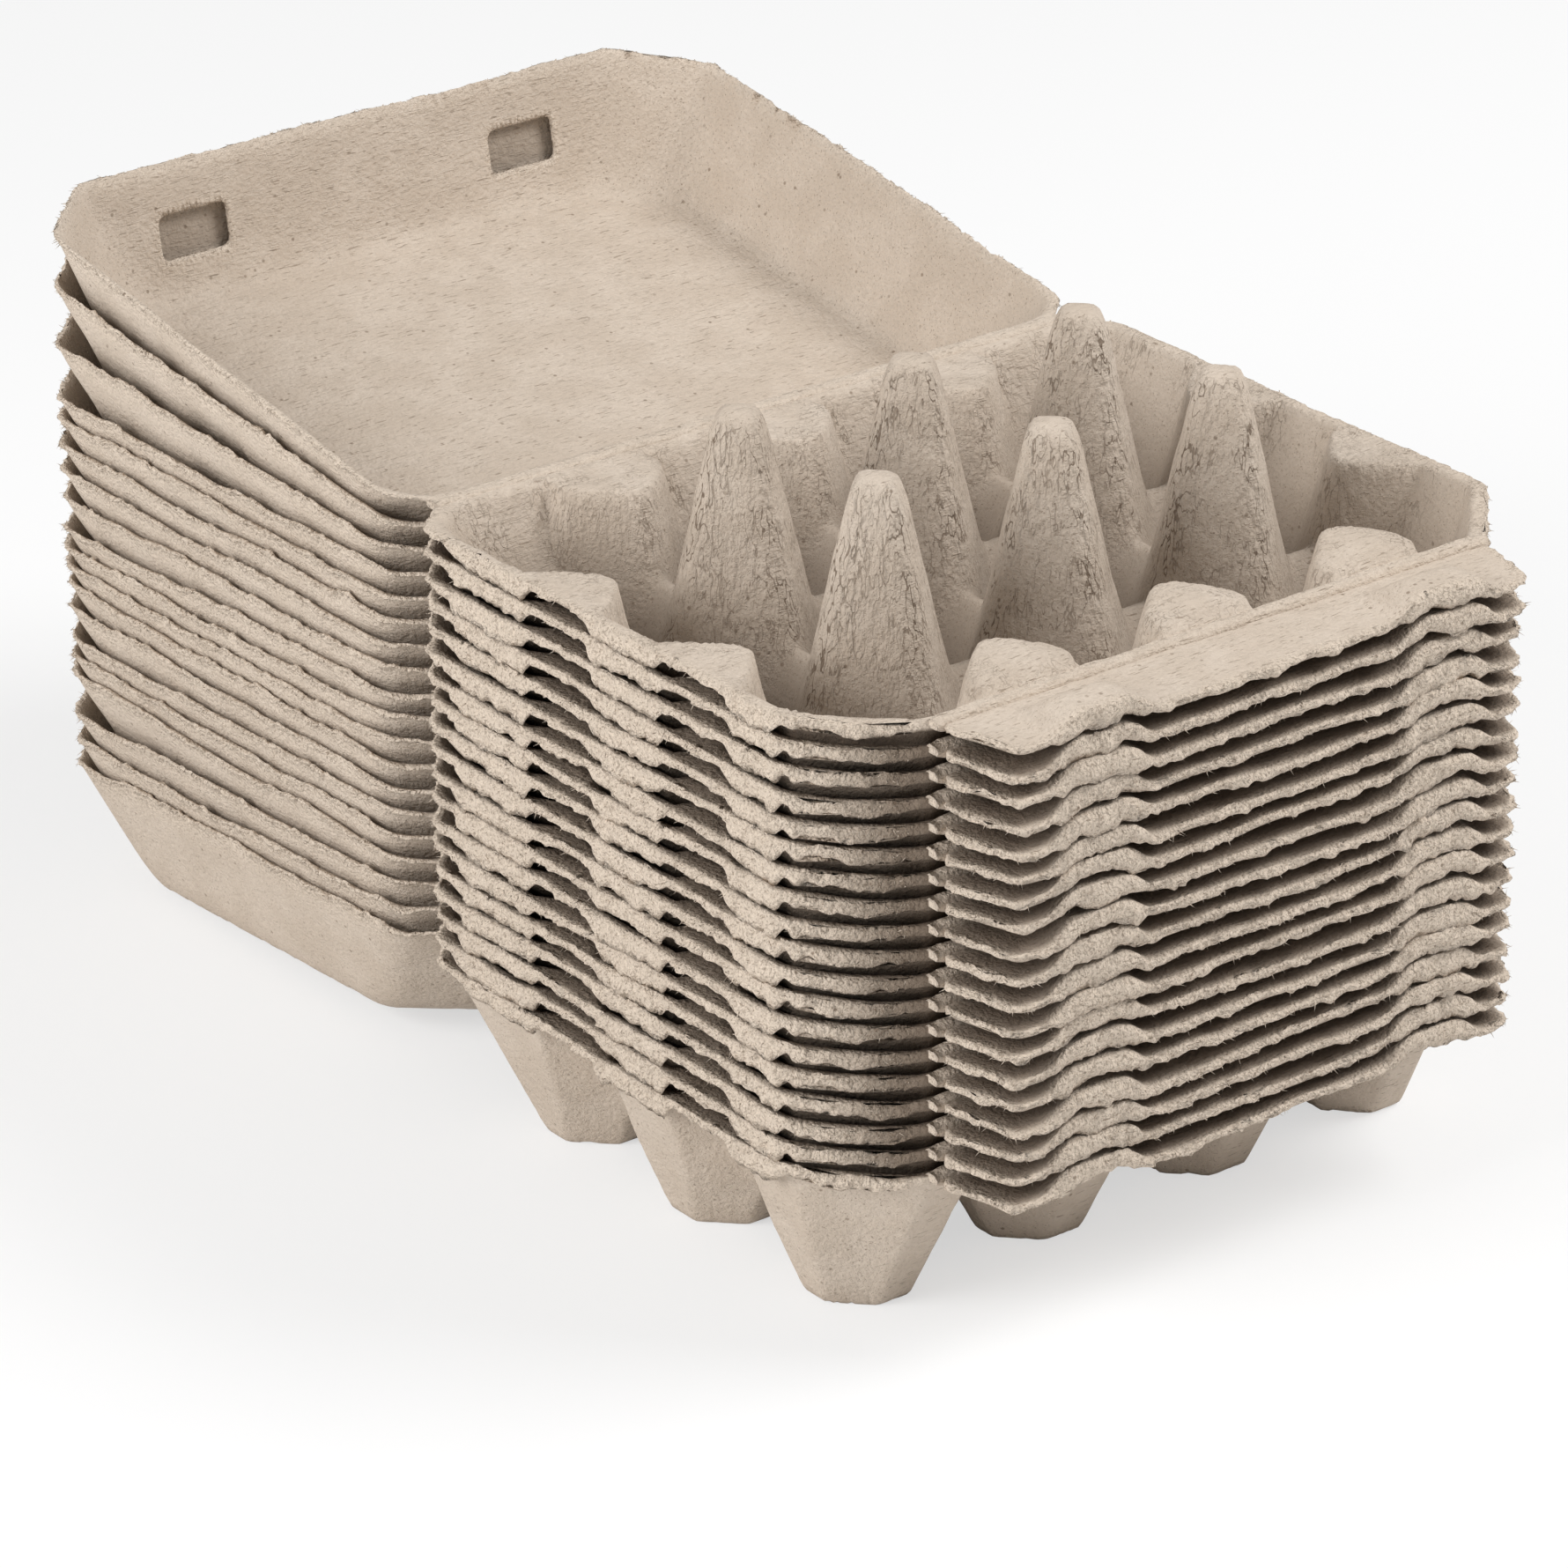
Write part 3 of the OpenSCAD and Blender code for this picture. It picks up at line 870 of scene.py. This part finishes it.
@dataclass(frozen=True)
class Flap(Form):
    """Locking flap with two hollow knobs, measured from the crease, outwards along -Y."""

    half: float = 77.2
    width: float = 20.5
    taper: float = 7.0
    corner_round: float = 4.0
    rim: float = 2.2
    start: float = 0.4
    free: float = 4.0
    low: float = 0.35
    droop: float = 0.0022
    knob_x: float = 48.0
    knob_half: float = 13.5
    knob_start: float = 6.5
    knob_high: float = 4.9
    knob_side: float = 1.1
    knob_slope: float = 0.055
    knob_level: float = 12.0
    knob_corner: float = 4.0
    knob_edge: float = 3.0
    knob_foot: float = 2.0
    hang: float = 2.2
    hang_across: Pair = (9.0, 14.0)
    hang_out: Pair = (16.0, 19.0)
    thin: float = 0.6
    thin_ends: float = 0.5
    ends: Pair = (58.0, 68.0)

    def outline(self) -> Outline:
        """Outer edge of the flap."""
        end = self.half - self.taper
        return Outline(((-self.half, -self.start), (-end, -self.width), (end, -self.width),
                        (self.half, -self.start)), self.corner_round)

    def loose(self, points: Array) -> Array:
        """Free at its ends and its far edge, held at the crease."""
        return ramp(-points[:, 1], self.start + HELD, self.start + self.free)

    def skirt(self, points: Array) -> Array:
        """The free edge is thick at the knobs and thinnest at the ends."""
        x = np.abs(points[:, 0])
        knobs = ((1 - ramp(np.abs(x - self.knob_x), *self.hang_across))
                 * ramp(-points[:, 1], *self.hang_out))
        thin = self.thin + self.thin_ends * ramp(x, *self.ends)
        return self.hang * knobs - thin * (1 - knobs)

    def height(self, points: Array, face: Face) -> Array:
        """Height of the flap's upper or lower face."""
        across, out = np.abs(np.abs(points[:, 0]) - self.knob_x), -points[:, 1]
        knob = smooth_min((self.knob_half - across) / self.knob_side, out - self.knob_start,
                          self.knob_corner)
        crown = self.knob_high - self.knob_slope * (out - self.knob_level)
        knob = smooth_min(knob, crown, self.knob_edge)
        thick = self.rim if face is Face.LOWER else 0.0
        return smooth_max(knob, 0.0, self.knob_foot) - self.low - self.droop * out ** 2 - thick


@dataclass(frozen=True)
class Fold:
    """Pressed ridge along a fold line."""

    LEAST_STATIONS = 8

    half: float
    reach: float = 2.6
    rise: float = 0.9
    drop: float = 2.0
    lip: float = 0.5
    end_length: float = 1.6
    end_size: float = 0.65
    worn: float = 0.35

    def build(self, sheet: Sheet, grain: Grain, step: float) -> None:
        """Adds the ridge, lying along X through the origin.

        Args:
            sheet: Takes the points and triangles.
            grain: Noise of this moulding.
            step: Spacing of the stations along the fold.
        """
        across, up = self.reach, self.rise
        section = np.array([
            (-across, -self.lip), (-0.75 * across, -self.drop), (0.75 * across, -self.drop),
            (across, -self.lip), (0.72 * across, 0.35 * up), (0.36 * across, up),
            (0.0, 0.78 * up), (-0.36 * across, up), (-0.72 * across, 0.35 * up)])
        count = len(section)
        stations = max(self.LEAST_STATIONS, round(2 * self.half / step))
        rings = []
        for x in np.linspace(-self.half, self.half, stations):
            inside = ramp(np.array([self.half - abs(x)]), 0.0, self.end_length)[0]
            shape = section * [1.0, inside * (1 - self.end_size) + self.end_size]
            solid = np.c_[np.full(count, x), shape]
            solid[:, 1] += grain.at(solid, Noise.FOLD_SIDE)
            solid[:, 2] += grain.at(solid, Noise.FOLD_RISE) + grain.at(solid, Noise.FOLD_FINE)
            rings.append(sheet.add(solid, self.worn) + np.arange(count))
        for left, right in zip(rings, rings[1:]):
            sheet.band(left[::-1], right[::-1])
        for ring, x, turn in ((rings[0], -self.half, 1), (rings[-1], self.half, -1)):
            hub = sheet.add(np.array([[x, 0.0, -self.lip]]), 1.0)
            corners = np.c_[ring, np.roll(ring, -1), np.full(count, hub)]
            sheet.face(corners[:, ::-turn])


@dataclass(frozen=True)
class Wiring:
    """Short ways to wire the nodes of a finish."""

    tree: bpy.types.NodeTree

    def node(self, kind: str, values: dict[str | int, object], out: str | int,
             **settings: str) -> Socket:
        """Adds a node.

        Args:
            kind: Type of the node, without the word that all of them start with.
            values: What goes into its inputs: a value or another node's output.
            out: Name or number of the output that is wanted.
            settings: The node's own settings.

        Returns:
            That output.
        """
        node = self.tree.nodes.new("ShaderNode" + kind)
        for name, setting in settings.items():
            setattr(node, name, setting)
        for key, value in values.items():
            if isinstance(value, Socket):
                self.tree.links.new(value, node.inputs[key])
            else:
                node.inputs[key].default_value = value
        return node.outputs[out]

    def attribute(self, label: str) -> Socket:
        """Value stored on the mesh."""
        return self.node("Attribute", {}, "Fac", attribute_name=label)

    def math(self, operation: str, first: Socket, second: Socket | float = 0.0) -> Socket:
        """Sum of two values or the like."""
        return self.node("Math", {0: first, 1: second}, "Value", operation=operation)

    def product(self, first: Socket, second: Socket | float) -> Socket:
        """Product of two values."""
        return self.math("MULTIPLY", first, second)

    def mix(self, share: Socket, first: Socket | Sequence[float],
            second: Sequence[float]) -> Socket:
        """Mix of two colours by a value."""
        return self.node("Mix", {0: share, 6: first, 7: second}, 2, data_type="RGBA")

    def span(self, value: Socket, low: float, high: float) -> Socket:
        """Maps a span of a value to 0 to 1."""
        return self.node("MapRange", {"Value": value, "From Min": low, "From Max": high},
                         "Result", interpolation_type="SMOOTHSTEP")

    def noise(self, place: Socket, scale: float, detail: float) -> Socket:
        """Cloudy noise."""
        return self.node("TexNoise", {"Vector": place, "Scale": scale, "Detail": detail}, "Fac")

    def stretch(self, place: Socket, scale: Triple, turn: Triple = (0.0, 0.0, 0.0)) -> Socket:
        """Turned and stretched places."""
        return self.node("Mapping", {"Vector": place, "Scale": scale, "Rotation": turn}, "Vector")

    def seen(self, share: float, unseen: Socket, seen: Socket) -> Socket:
        """Shader that the camera sees in part as another one than light does."""
        straight = self.product(self.node("LightPath", {}, "Is Camera Ray"), share)
        return self.node("MixShader", {0: straight, 1: unseen, 2: seen}, 0)


@dataclass(frozen=True)
class Pulp:
    """Moulded grey-brown pulp with fibres, flecks and paler torn edges.

    Scales are in waves for each metre. Spans are the parts of a noise that run from 0 to 1.
    """

    base: Tint = (207, 193, 178)
    deep: Tint = (196, 181, 165)
    pale: Tint = (224, 208, 190)
    fleck: Tint = (128, 111, 94)
    crack: Tint = (112, 95, 79)
    # Colour of the painted shade in the cells and in the gaps between cartons
    painted_shade: Tint = (96, 80, 65)
    mean: Tint = (195, 182, 168)
    roughness: float = 0.93
    gloss: float = 0.2
    bump_strength: float = 0.55
    bump_distance: float = 0.00035
    fibre_scale: Triple = (260, 1900, 1900)
    fibre_span: Pair = (0.6, 0.72)
    fibre_turns: tuple[Triple, ...] = ((0.3, 0.2, 0.5), (0.1, 1.2, -0.7), (1.3, -0.4, 1.6))
    dash_span: Pair = (0.685, 0.745)
    dash_turns: tuple[Triple, ...] = ((0.0, 0.1, 0.9), (0.2, 0.0, -0.6), (1.5, 0.3, 0.2))
    crease_scale: Triple = (620, 620, 230)
    crack_scale: Triple = (520, 520, 110)
    crack_span: Pair = (0.03, 0.012)
    patch_span: Pair = (0.38, 0.54)
    fleck_scale: float = 330
    fleck_span: Pair = (0.2, 0.08)
    fleck_pick: Pair = (0.55, 1.0)
    name: str = "pulp"

    def material(self) -> bpy.types.Material:
        """Makes the finish."""
        material = bpy.data.materials.new(self.name)
        material.use_nodes = True
        tree = material.node_tree
        wire = Wiring(tree)
        place = wire.node("TexCoord", {}, "Object")
        torn, ridge, shade = (wire.attribute(label) for label in ("torn", "ridge", "shade"))
        mottle = wire.span(wire.noise(place, 70, 5), 0.38, 0.62)
        grit = wire.span(wire.noise(place, 900, 4), 0.3, 0.7)
        pits = wire.product(wire.span(wire.noise(place, 1500, 2), 0.5, 0.68), torn)
        fuzz = wire.product(wire.span(wire.noise(place, 1100, 2), 0.35, 0.65), torn)
        creases = wire.noise(wire.stretch(place, self.crease_scale), 1, 3)
        crinkle = wire.product(wire.span(creases, 0.3, 0.7), ridge)
        fibres = self._strands(wire, place, self.fibre_turns, 2, self.fibre_span)
        dashes = self._strands(wire, place, self.dash_turns, 1, self.dash_span)
        cracks = self._cracks(wire, place, ridge)
        colour = srgb(*self.base)
        # The last layer is painted shade, read from the shade attribute
        for value, share, tint in (
                (mottle, 0.7, self.deep), (grit, 0.4, self.deep), (torn, 0.7, self.pale),
                (pits, 0.5, self.fleck), *((fibre, 0.3, self.pale) for fibre in fibres),
                *((dash, 0.55, self.fleck) for dash in dashes),
                (self._flecks(wire, place), 0.75, self.fleck), (cracks, 0.85, self.crack),
                (shade, 1.0, self.painted_shade)):
            colour = wire.mix(wire.product(value, share), colour, srgb(*tint))
        height = grit
        for value, share in (*((fibre, 1.0) for fibre in fibres), (mottle, 1.5), (cracks, -2.5),
                             (crinkle, 4.0), (fuzz, 3.4)):
            height = wire.math("ADD", height, wire.product(value, share))
        normal = wire.node("Bump", {"Strength": self.bump_strength, "Height": height,
                                    "Distance": self.bump_distance}, "Normal")
        shader = tree.nodes["Principled BSDF"]
        shader.inputs["Roughness"].default_value = self.roughness
        shader.inputs["Specular IOR Level"].default_value = self.gloss
        tree.links.new(colour, shader.inputs["Base Color"])
        tree.links.new(normal, shader.inputs["Normal"])
        # Light that bounces sees a plain colour with the same painted shade, so a render takes less
        # time
        plain = wire.mix(shade, srgb(*self.mean), srgb(*self.painted_shade))
        bounced = wire.node("BsdfDiffuse", {"Color": plain}, 0)
        tree.links.new(wire.seen(1.0, bounced, shader.outputs[0]),
                       tree.nodes["Material Output"].inputs["Surface"])
        return material

    def _strands(self, wire: Wiring, place: Socket, turns: Sequence[Triple], detail: float,
                 span: Pair) -> list[Socket]:
        """Fibres in several directions."""
        return [wire.span(wire.noise(wire.stretch(place, self.fibre_scale, turn), 1, detail), *span)
                for turn in turns]

    def _flecks(self, wire: Wiring, place: Socket) -> Socket:
        """Sparse dark flecks."""
        spots = wire.node("TexVoronoi", {"Vector": place, "Scale": self.fleck_scale}, "Distance")
        pick = wire.node("SeparateColor", {"Color": spots.node.outputs["Color"]}, "Red")
        return wire.product(wire.span(spots, *self.fleck_span), wire.span(pick, *self.fleck_pick))

    def _cracks(self, wire: Wiring, place: Socket, ridge: Socket) -> Socket:
        """Thin upright cracks along the stretched ridges."""
        upright = wire.noise(wire.stretch(place, self.crack_scale), 1, 2)
        offset = wire.math("ABSOLUTE", wire.math("SUBTRACT", upright, 0.5))
        patch = wire.span(wire.noise(place, 130, 1), *self.patch_span)
        return wire.product(wire.product(wire.span(offset, *self.crack_span), patch), ridge)


@dataclass
class CartonStack:
    """Nineteen nested cartons, the topmost with a lid and a flap that fold."""

    SEED_STEP = 101
    FOLD_SEED = 907

    finish: Pulp = field(default_factory=Pulp)
    pitch: float = 5.85714
    middle_y: float = -72.753
    hinge_y: float = 80.0
    crease_y: float = -78.5
    fold_z: float = 0.2
    fold_reach: float = 1.4
    fold_steps: Pair = (2.0, 1.0)
    tilts: tuple[float, ...] = (
        -2.644, -2.644, -2.344, -0.244, -0.744, -1.244, -0.544, -0.344, -0.844, -1.344,
        -1.844, -0.744, -0.544, -0.144, 0.156, -0.044, 2.756, 6.556, 9.156)
    tray: Tray = field(default_factory=Tray)
    lid: Lid = field(default_factory=Lid)
    flap: Flap = field(default_factory=Flap)
    hinge: Fold = Fold(half=89.8)
    crease: Fold = Fold(half=76.8, reach=2.2, rise=1.15)
    edges: dict[str, Edge] = field(default_factory=lambda: {
        "tray": Edge(), "flap": Edge(),
        "lid": Edge(fuzz=0.7, bump=0.6, rough=0.1, wave=0.9, wave_length=26.0, swell=0.1,
                    fray=0.32)})
    top_wave: float = 0.55
    top_level: float = -0.15
    top_wrinkle: float = 0.3
    # Shares of painted shade on the upper and the lower faces of cartons that lie between others
    dark: Pair = (0.85, 0.85)
    lid_dark: Pair = (0.5, 0.0)
    edge_step: float = 0.75
    steps: dict[Detail, dict[str, float]] = field(default_factory=lambda: {
        Detail.COARSE: {"tray": 6.4, "lid": 8.0, "flap": 2.8},
        Detail.MEDIUM: {"tray": 2.4, "lid": 4.6, "flap": 2.6}})
    flap_step: float = 0.8
    cell_steps: Pair = (0.76, 1.4)
    face_steps: Pair = (1.1, 2.4)

    def build(self) -> None:
        """Builds and dresses every carton."""
        self.material = self.finish.material()
        self.forms: dict[str, Form] = {"tray": self.tray, "lid": self.lid, "flap": self.flap}
        self.plans = {
            (name, face, detail): Plan.cut(form.outline(), self.edge_step,
                                           self._fills(name, form, face, detail),
                                           form.windows(face))
            for (name, form), face, detail in product(self.forms.items(), Face, Detail)}
        self.top = len(self.tilts) - 1
        for number in range(self.top):
            self._carton(number)
        self._top_carton()

    def _fills(self, name: str, form: Form, face: Face, detail: Detail) -> list[Fill]:
        """Spacings of a plan's inner points, closer on steep faces that are seen whole."""
        if detail is not Detail.FINE:
            return [Fill(self.steps[detail][name])]
        if name == "flap":
            return [Fill(self.flap_step)]
        cells = name == "tray" and face is Face.UPPER
        steep, flat = self.cell_steps if cells else self.face_steps
        return [Fill(steep, form.steep), Fill(flat, lambda p: ~form.steep(p))]

    def _to_row(self, number: int, y: float = 0.0, tilt: float = 0.0) -> Move:
        """Moves points from a frame at y, sloped about its fold, to the row's, in millimetres."""
        offset = np.array([0, self.middle_y, self.tray.depth + number * self.pitch])
        cos, sin = math.cos(math.radians(tilt)), math.sin(math.radians(tilt))

        def move(points: Array) -> Array:
            if tilt:
                along, up = points[:, 1], points[:, 2] - self.fold_z
                points = np.c_[points[:, 0], along * cos - up * sin,
                               self.fold_z + along * sin + up * cos]
            return points + [0, y, 0] + offset

        return move

    def _moulding(self, sheet: Sheet, name: str, number: int,
                  details: tuple[Detail, Detail]) -> None:
        """Adds one moulding's skin to a sheet, in the row's frame."""
        start = len(sheet.points)
        edge, wrinkle = self.edges[name], 0.0
        # Painted shade between cartons is left off where nothing lies above or below
        dark_over, dark_under = self.lid_dark if name == "lid" else self.dark
        if number == self.top:
            dark_over = 0.0
            wrinkle = self.top_wrinkle if name == "tray" else 0.0
            edge = (replace(edge, wave=self.top_wave, fray=0.0) if name == "flap"
                    else replace(edge, wave=self.top_wave, level=self.top_level))
        if number == 0:
            dark_under = 0.0
        plans = [self.plans[name, face, detail] for face, detail in zip(Face, details)]
        grain = Grain(self.SEED_STEP * number + len(name))
        self.forms[name].skin(sheet, plans, grain, edge, wrinkle, (dark_over, dark_under))
        y = {"tray": 0.0, "lid": self.hinge_y, "flap": self.crease_y}[name]
        sheet.place(start, self._to_row(number, y, self.tilts[number] if name == "lid" else 0.0))

    def _fold(self, sheet: Sheet, fold: Fold, y: float, number: int) -> None:
        """Adds the ridge of a fold to a sheet."""
        start = len(sheet.points)
        fold.build(sheet, Grain(self.FOLD_SEED + number), self.fold_steps[number == self.top])
        sheet.place(start, self._to_row(number, y))

    def _dress(self, sheet: Sheet, node: str, body: str) -> None:
        """Makes the piece that stands in for a node."""
        piece = sheet.piece(f"pulp_{node}", self.material)
        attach(piece, body)
        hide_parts(node)

    def _carton(self, number: int) -> None:
        """One whole carton below the top."""
        details = {0: (Detail.MEDIUM, Detail.FINE), 1: (Detail.MEDIUM, Detail.MEDIUM)}.get(
            number, (Detail.COARSE, Detail.COARSE))
        sheet = Sheet()
        for name in ("lid", "tray", "flap"):
            self._moulding(sheet, name, number, details)
        for fold, y in ((self.hinge, self.hinge_y), (self.crease, self.crease_y)):
            self._fold(sheet, fold, y, number)
        self._dress(sheet, f"carton_{number + 1:02d}", "stack")

    def _top_carton(self) -> None:
        """The topmost carton, in the pieces that fold."""
        for name in self.forms:
            sheet = Sheet()
            self._moulding(sheet, name, self.top, (Detail.FINE, Detail.FINE))
            self._dress(sheet, f"top_{name}", "stack" if name == "tray" else name)
        for name, fold, y, body, way in (("hinge", self.hinge, self.hinge_y, "lid", 1),
                                         ("crease", self.crease, self.crease_y, "flap", -1)):
            sheet = Sheet()
            self._fold(sheet, fold, y, self.top)
            piece = sheet.piece(f"pulp_{name}_fold", self.material)
            line = self._to_row(self.top)(np.array([[0, y, self.fold_z]]))[0] * MM
            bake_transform(piece)


@dataclass(frozen=True)
class Lamp:
    """Soft square lamp: its place and size in metres, and its power in watts."""

    name: str
    place: Triple
    size: float
    power: float


@dataclass
class Studio:
    """Camera, soft light and a white floor."""

    camera_at: Triple = (-0.90587, -1.17690, 0.74720)
    azimuth: float = -37.63
    elevation: float = 25.02
    roll: float = -0.45
    lens: float = 162.63
    sensor: float = 36.0
    clip: Pair = (0.05, 50.0)
    lamps: tuple[Lamp, ...] = (Lamp("key", (1.0, -0.8, 1.4), 0.8, 24.0),
                               Lamp("side", (-1.6, 0.1, 0.9), 1.0, 23.0))
    lamps_aim: Triple = (0.0, 0.0, 0.1)
    sky: float = 0.4
    floor_size: float = 12.0
    floor_grey: float = 0.9
    floor_glow: float = 0.6

    def build(self) -> None:
        """Sets up the view and the light."""
        bpy.context.scene.view_settings.view_transform = "Standard"
        self._camera()
        self._world()
        self._floor()
        for lamp in self.lamps:
            self._lamp(lamp)

    def _add(self, name: str, data: bpy.types.ID) -> bpy.types.Object:
        """Puts an object in the scene."""
        obj = bpy.data.objects.new(name, data)
        bpy.context.scene.collection.objects.link(obj)
        return obj

    def _camera(self) -> None:
        """Camera as fitted to the photo."""
        a, e, r = (math.radians(v) for v in (self.azimuth, self.elevation, self.roll))
        back = Vector((math.sin(a) * math.cos(e), -math.cos(a) * math.cos(e), math.sin(e)))
        right = Vector((math.cos(a), math.sin(a), 0))
        up = back.cross(right)
        right, up = right * math.cos(r) + up * math.sin(r), up * math.cos(r) - right * math.sin(r)
        data = bpy.data.cameras.new("camera")
        data.lens, data.sensor_width = self.lens, self.sensor
        data.clip_start, data.clip_end = self.clip
        camera = self._add("camera", data)
        turn = Matrix((right, up, back)).transposed().to_4x4()
        camera.matrix_world = Matrix.Translation(self.camera_at) @ turn
        bpy.context.scene.camera = camera

    def _world(self) -> None:
        """Even white surroundings, seen brighter than they light."""
        world = bpy.data.worlds.new("surroundings")
        bpy.context.scene.world = world
        world.use_nodes = True
        world.node_tree.nodes.clear()
        wire = Wiring(world.node_tree)
        light, seen = (wire.node("Background", {"Color": (1, 1, 1, 1), "Strength": strength}, 0)
                       for strength in (self.sky, 1.0))
        out = world.node_tree.nodes.new("ShaderNodeOutputWorld")
        world.node_tree.links.new(wire.seen(1.0, light, seen), out.inputs["Surface"])

    def _floor(self) -> None:
        """White floor that keeps the shadow."""
        half = self.floor_size / 2
        mesh = bpy.data.meshes.new("floor")
        mesh.from_pydata([(-half, -half, 0), (half, -half, 0), (half, half, 0), (-half, half, 0)],
                         [], [(0, 1, 2, 3)])
        floor = self._add("floor", mesh)
        material = bpy.data.materials.new("floor_white")
        material.use_nodes = True
        tree = material.node_tree
        wire = Wiring(tree)
        shader = tree.nodes["Principled BSDF"]
        shader.inputs["Base Color"].default_value = (*(self.floor_grey,) * 3, 1)
        shader.inputs["Roughness"].default_value = 1.0
        shader.inputs["Specular IOR Level"].default_value = 0.0
        glow = wire.node("Emission", {"Strength": 1.0}, 0)
        tree.links.new(wire.seen(self.floor_glow, shader.outputs[0], glow),
                       tree.nodes["Material Output"].inputs["Surface"])
        mesh.materials.append(material)

    def _lamp(self, lamp: Lamp) -> None:
        """Adds a lamp that faces the stack."""
        data = bpy.data.lights.new(lamp.name, "AREA")
        data.size, data.energy = lamp.size, lamp.power
        obj = self._add(lamp.name, data)
        obj.location = lamp.place
        way = Vector(self.lamps_aim) - Vector(lamp.place)
        obj.rotation_euler = way.to_track_quat("-Z", "Y").to_euler()


def main() -> None:
    """Builds the stack and its studio."""
    logging.basicConfig(level=logging.INFO, format="%(name)s %(message)s")
    Studio().build()
    CartonStack().build()


if __name__ == "__main__":
    main()
